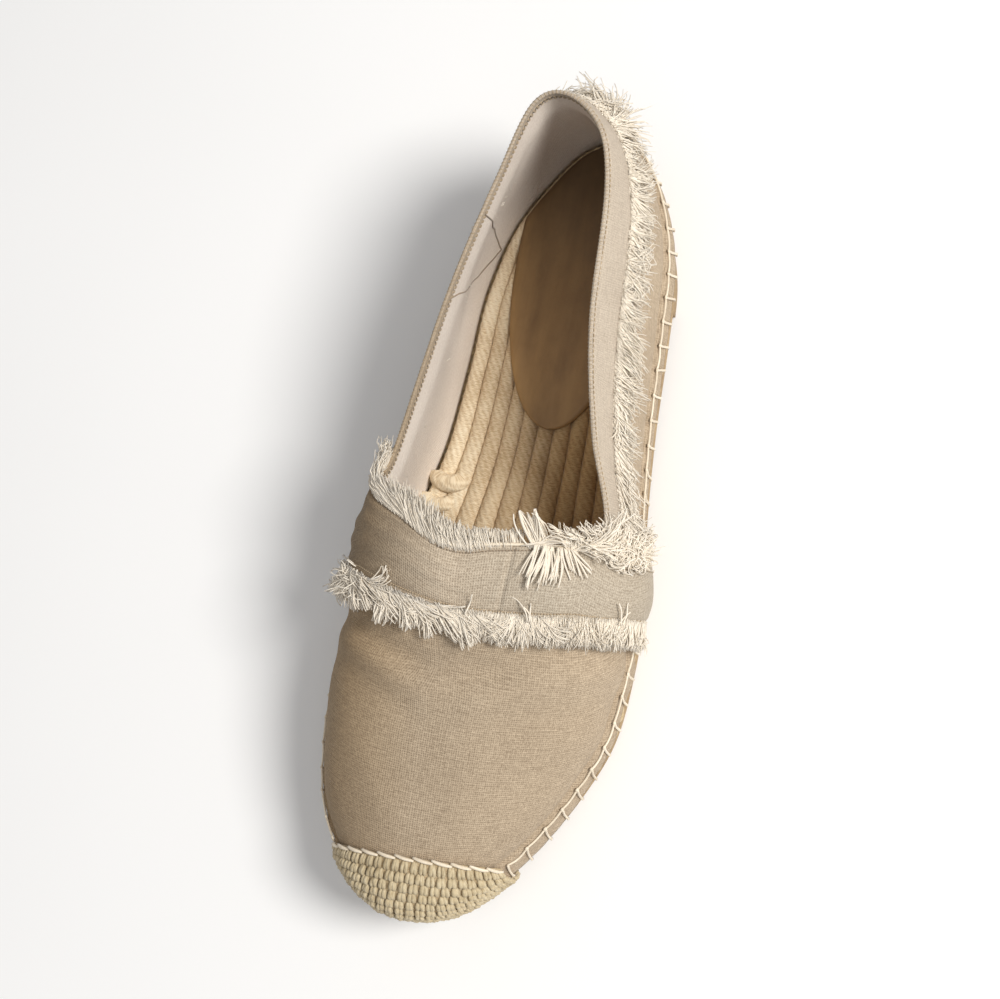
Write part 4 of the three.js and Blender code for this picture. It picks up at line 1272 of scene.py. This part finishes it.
# Rubber sole and heel, with rounded edges
def rubber_parts():
    n = 200
    s = np.arange(n) / n
    low = ((-1.4, 0.0), (-0.5, 0.12), (0.3, 0.5), (OUTSOLE_EDGE, 1.2), (OUTSOLE_EDGE + 0.1, 2.0))
    high = ((OUTSOLE_EDGE, OUTSOLE - 0.7), (0.35, OUTSOLE - 0.15), (-0.5, OUTSOLE))
    rows = []
    for out, h in low + high:
        p, _ = outline(s, np.full(n, out - taper(h)))
        rows.append(raised(p, rise(p[:, 0]) + h))
    done(closed_plate("rubber_sole", rows, RUBBER), "rubber", "outsole")
    drawn_in = SOLE_TAPER - OUTSOLE_EDGE
    breast = HEEL_LENGTH - drawn_in
    outer = float(solve(0, 0.49, lambda s: outline(s, -drawn_in)[0][..., 0] > breast))
    inner = float(solve(0.51, 1, lambda s: outline(s, -drawn_in)[0][..., 0] < breast)) - 1
    s = np.linspace(inner, outer, 90)
    rows = []
    top = HEEL_LIFT - CLEARANCE
    for out, h in ((-1.6, 0.0), (-0.7, 0.25), (-0.2, 0.7), (0.0, 1.4), (0.0, top - 0.5), (-0.4, top)):
        p, _ = outline(s, np.full(90, out - drawn_in))
        p[:, 0] = np.minimum(p[:, 0], breast + out)
        front = np.stack([np.full(10, p[-1, 0]), np.linspace(p[-1, 1], p[0, 1], 12)[1:-1]], -1)
        ring = np.concatenate([p, front])
        rows.append(raised(ring, h))
    done(closed_plate("rubber_heel", rows, RUBBER), "rubber", "heel_lift")


def closed_plate(name, rows, look):
    rings = np.stack(rows, 0)
    m, n = rings.shape[:2]
    centre = [rings[0].mean(0), rings[-1].mean(0)]
    points = np.concatenate([rings.reshape(-1, 3), centre])
    quads = grid_quads(m, n, False, True)
    k = np.arange(n)
    low = np.stack([np.full(n, m * n), (k + 1) % n, k], -1)
    high = np.stack([np.full(n, m * n + 1), (m - 1) * n + k, (m - 1) * n + (k + 1) % n], -1)
    p = rings.reshape(-1, 3)
    a, b, c, d = (p[quads[:, j]] for j in range(4))
    middle = p.mean(0)
    volume = (np.cross(b - a, c - a) * (a - middle)).sum()
    tris = np.concatenate([low, high])
    if volume < 0:
        quads, tris = quads[:, ::-1], tris[:, ::-1]
    return make(name, points, quads, tris, look=look, uv=points[:, :2])


# The insole: ropes and the leather pad
inset = SEAT_INSET + WALL + FOOTBED_GAP
bed_edge, _ = outline(np.linspace(0, 1, 721), np.full(721, -inset))
bed_start, bed_end = bed_edge[:, 0].min(), bed_edge[:, 0].max()
toe_at = int(np.argmax(bed_edge[:, 0]))


def bed_sides(x):
    heel = int(np.argmin(bed_edge[:, 0]))
    if heel > 360:
        outer = np.concatenate([bed_edge[heel:-1], bed_edge[: toe_at + 1]])
        inner = bed_edge[toe_at : heel + 1][::-1]
    else:
        outer = bed_edge[heel : toe_at + 1]
        inner = np.concatenate([bed_edge[toe_at:], bed_edge[: heel + 1]])[::-1]
    return np.interp(x, inner[:, 0], inner[:, 1]), np.interp(x, outer[:, 0], outer[:, 1])


def rope_insole():
    m = 230
    parts = []
    q = np.linspace(0, 1, m)
    for i in range(ROPES):
        x = mix(bed_start + 1.5, bed_end - 1.5, (1 - np.cos(np.pi * (0.02 + 0.96 * q))) / 2)
        inner, outer = bed_sides(x)
        share = (i + 0.5) / ROPES
        y = mix(inner, outer, share)
        width = (outer - inner) / ROPES
        radius = np.clip(width / 2 * 1.04, 0.3, 3.6)
        z = seat(x) + CLEARANCE + FOOTBED - 2.6
        path = np.stack([x, y, z], -1)[None]
        normal = np.broadcast_to([0.0, 0, 1.0], path.shape)
        sides = 14
        p, quads, tris, _ = tubes(path, normal, radius[None], sides)
        grid = p.reshape(m, sides, 3)
        turn = np.linspace(0, 2 * np.pi, sides, endpoint=False)[None, :]
        way = travel(path[0])[:, None]
        ply = 1 + 0.035 * np.cos(3 * (turn - way * 0.62 + i)) + 0.03 * np.sin(way * 0.21 + 2 * i)
        centre = path[0][:, None]
        shape = (grid - centre) * ply[..., None]
        crown = 2.6 / np.maximum(radius, 0.3)[:, None]
        shape[..., 2] *= np.minimum(crown, 1.4)
        grid = centre + shape
        round_rope = ((turn + np.pi) % (2 * np.pi)) * 3.3 + i * 23
        uv = np.stack([np.broadcast_to(round_rope, (m, sides)), np.broadcast_to(way, (m, sides))], -1)
        parts.append((grid.reshape(-1, 3), quads, tris, uv.reshape(-1, 2)))
    bend = np.linspace(0, np.pi, 26)
    for dx, dy, radius in ((0.0, 0.0, 3.0), (7.5, -2.6, 2.5)):
        x, y = ROPE_TURN[0] + dx + 3.4 * np.sin(bend), ROPE_TURN[1] + dy - 4.6 * np.cos(bend)
        path = np.stack([x, y, seat(x) + CLEARANCE + FOOTBED + 0.2 - 2.2 * (np.cos(bend) ** 4)], -1)[None]
        parts.append(tubes(path, np.broadcast_to([0.0, 0, 1.0], path.shape), radius, 12, 0.8))
    x = np.linspace(bed_start + 0.5, bed_end - 0.5, 60)
    inner, outer = bed_sides(x)
    base = seat(x) + CLEARANCE
    ring = np.stack(
        [
            np.stack([x, mix(inner, outer, across), base + up], -1)
            for across, up in ((0, 0), (0, 2.4), (0.5, 2.4), (1, 2.4), (1, 0), (0.5, 0))
        ],
        1,
    )
    n = len(x)
    quads = facing(ring, grid_quads(n, 6, False, True))
    ends = np.array([[0, 5, 2, 1], [5, 4, 3, 2]])
    quads = np.concatenate([quads, ends, (n - 1) * 6 + ends[:, ::-1]])
    parts.append((ring.reshape(-1, 3), quads, np.zeros((0, 3), int), ring.reshape(-1, 3)[:, :2]))
    done(strands("rope_insole", ROPE, *parts), "jute", "jute_footbed")


def heel_leather():
    start = bed_start + SOCK_MARGIN
    q = np.linspace(0, 1, 90)
    x = mix(start, SOCK_LENGTH - 0.02, (1 - np.cos(np.pi * q)) / 2)
    inner, outer = bed_sides(np.maximum(x - SOCK_MARGIN, bed_start + 0.2))
    ahead = np.maximum(0, 1 - (SOCK_LENGTH - x) / SOCK_ROUND)
    half = SOCK_WIDTH / 2 * np.sqrt(1 - ahead * ahead)
    low = np.maximum(inner + SOCK_MARGIN, -half)
    high = np.minimum(outer - SOCK_MARGIN, half)
    w = np.linspace(0, 1, 25)[None, :]
    y = mix(low[:, None], high[:, None], w)
    xs = np.broadcast_to(x[:, None], y.shape)
    dish = 0.35 * np.sin(xs * 0.09 + y * 0.05) + 0.25 * np.sin(y * 0.42 + xs * 0.03)
    edge = np.minimum(1, np.minimum(y - low[:, None], high[:, None] - y) / 1.2)
    level = seat(xs) + FOOTBED + 2 * CLEARANCE
    top = np.stack([xs, y, level + SOCK * (0.45 + 0.55 * np.sqrt(np.clip(edge, 0, 1))) + dish * 0.25], -1)
    under = np.stack([xs, y, level - 0.1], -1)[:, ::-1]
    rings = np.concatenate([top, under], 1)
    done(slab("heel_leather", rings, LEATHER, uv=rings.reshape(-1, 3)[:, :2]), "leather", "leather_sock")


# The crocheted toe cap
def cap_columns(count, off):
    """For each column the cap's face from the rim up, its outward direction and the way along it."""
    shares = np.linspace(cap_outer, cap_inner, count)
    edge_up = solve(0, 1, lambda up: towards_toe(upper_face(shares, up)) < CAP_EDGE, shares)
    h = np.linspace(CLEARANCE, MIDSOLE - 1.5, 9)[None, :]
    s = np.broadcast_to(shares[:, None], (count, 9))
    p, n = outline(s, STRAND_RIDGE + CLEARANCE + off - taper(OUTSOLE + h) + 0 * s)
    side = raised(p, rise(p[..., 0]) + OUTSOLE + h)
    side_normal = raised(n, 0.0)
    t = np.linspace(0.1, 1, 22)[None, :]
    s = np.broadcast_to(shares[:, None], (count, 22))
    ups = edge_up[:, None] * t
    step = HEM_STEP * (1 - smooth(0.5, 1, t))
    top = off_upper(s, ups, LIFT + step + off)
    top_normal = upper_normal(s, ups)
    points = np.concatenate([side, top], 1)
    normals = np.concatenate([side_normal, top_normal], 1)
    for _ in range(3):
        points[:, 7:13] = (points[:, 6:12] + points[:, 8:14]) / 2
        normals[:, 7:13] = unit((normals[:, 6:12] + normals[:, 8:14]) / 2)
    return points, normals, travel(points, 1)


def cap_row(face, down):
    """Points and directions across the cap, a way down from its edge."""
    points, normals, way = face
    keep = np.flatnonzero(way[:, -1] - down > 0.6)
    at = [np.interp(way[i, -1] - down, way[i], np.arange(way.shape[1])) for i in keep]
    k = np.minimum(np.array(at, int), way.shape[1] - 2)
    f = (np.array(at) - k)[:, None]
    return keep, mix(points[keep, k], points[keep, k + 1], f), mix(normals[keep, k], normals[keep, k + 1], f)


def puffs(face, down, pitch, reach, shift, width, height):
    """One row of knots, each of two plump lobes; returns paths, normals and radii."""
    keep, row, out = cap_row(face, down)
    above = cap_row(face, down - reach)[1][-len(keep) :]
    keep_low, below, _ = cap_row(face, down + reach)
    if len(keep_low) < 12:
        return [], [], []
    low, high = np.searchsorted(keep, keep_low[0]), np.searchsorted(keep, keep_low[-1]) + 1
    row, out, above = row[low:high], out[low:high], above[low:high]
    length = travel(row)
    count = max(2, round(length[-1] / pitch))
    at = (np.arange(count) + 0.5 + shift) / count * length[-1]
    at = np.clip(at + rng.normal(0, 0.08, count), 0.6, length[-1] - 0.6)
    pick = lambda a, where: np.stack([np.interp(where, length, a[:, k]) for k in range(3)], -1)
    paths, outs, sizes = [], [], []
    for lobe in (-1, 1):
        where = at + lobe * width * 0.5
        here, normal = pick(row, where), unit(pick(out, where))
        up_to, down_to = pick(above, where - lobe * 0.12), pick(below, where + lobe * 0.12)
        q = np.array([-1, -0.82, -0.45, 0, 0.45, 0.82, 1.0])[None, :, None]
        half = np.where(q < 0, (down_to - here)[:, None] * -q, (up_to - here)[:, None] * q)
        line = here[:, None] + half + normal[:, None] * (height * (1 - q**2) - 0.15)
        paths.append(line + rng.normal(0, 0.1, (count, 1, 3)))
        outs.append(np.repeat(normal[:, None], 7, 1))
        plump = np.array([0.45, 0.8, 1.0, 1.06, 1.0, 0.8, 0.45])[None, :]
        sizes.append(plump * width * 0.68 * rng.uniform(0.92, 1.08, (count, 1)))
    return paths, outs, sizes


def crochet_cap():
    columns = 96
    outer, _, _ = cap_columns(columns, 0.45)
    inner, _, _ = cap_columns(columns, 0.0)
    rings = np.concatenate([outer, inner[:, ::-1]], 1)
    quads = facing(rings, grid_quads(columns, rings.shape[1], False, True))
    m = rings.shape[1]
    k = np.arange(m // 2 - 1)
    end = np.stack([k, m - 1 - k, m - 2 - k, k + 1], -1)
    quads = np.concatenate([quads, end, (columns - 1) * m + end[:, ::-1]])
    base = (rings.reshape(-1, 3), quads, np.zeros((0, 3), int), rings.reshape(-1, 3)[:, :2])
    done(strands("cap_backing", BACKING, base), "jute", "toe_cap")
    face = cap_columns(240, 0.6)
    paths, normals, sizes = [], [], []
    for made in [puffs(face, 2.9, 2.9, 2.1, 0.0, 1.0, 0.5)] + [
        puffs(face, 6.6 + 3.3 * r, 3.2, 1.7, 0.1 * (r % 3 - 1), 1.2, 0.7) for r in range(12)
    ]:
        for group, part in zip((paths, normals, sizes), made):
            group.extend(part)
    knots = tubes(np.concatenate(paths), np.concatenate(normals), np.concatenate(sizes), 8)
    rim = []
    for off, h in ((0.5, 1.3), (0.6, 3.1)):
        s = np.linspace(cap_outer, cap_inner, 90)
        p, n = outline(s, np.full(90, STRAND_RIDGE + CLEARANCE + off) - taper(OUTSOLE + h))
        rim.append(tubes(raised(p, rise(p[:, 0]) + OUTSOLE + h)[None], raised(n, 0.0)[None], 1.05, 8))
    done(strands("crochet_knots", CROCHET, knots, *rim), "jute")
    overcast(face)


def overcast(face):
    """The cord sewn along the cap's edge."""
    points, normals, way = face
    edge = points[:, -1] + unit(points[:, -1] - points[:, -3]) * 0.3
    length = travel(edge)
    count = int(length[-1] / 5.6)
    q = np.linspace(0, 1, 9)
    paths, outs = [], []
    toward = unit(points[:, -1] - points[:, -4])
    for i in range(count):
        at = (i + 0.02 + 1.06 * q) * length[-1] / count
        at = np.clip(at, 0, length[-1])
        sample = lambda a: np.stack([np.interp(at, length, a[:, k]) for k in range(3)], -1)
        p, n, w = sample(edge), unit(sample(normals[:, -1])), unit(sample(toward))
        paths.append(p + w * (1.1 * q - 0.75)[:, None] + n * (0.55 + 0.45 * np.sin(np.pi * q))[:, None])
        outs.append(n)
    cord = tubes(np.array(paths), np.array(outs), 0.55 * np.sin(np.pi * (0.15 + 0.7 * q))[None, :] ** 0.5, 7)
    done(strands("cap_edge_cord", CORD, cord), "jute")


upper_cloth()
collar_cloth()
collar_stitches()
strap_cloth()
strap_stitches()
front_fringe()
rear_fringe()
collar_threads()
loose_ends()
hem_cord()
jute_side()
rubber_parts()
rope_insole()
heel_leather()
crochet_cap()
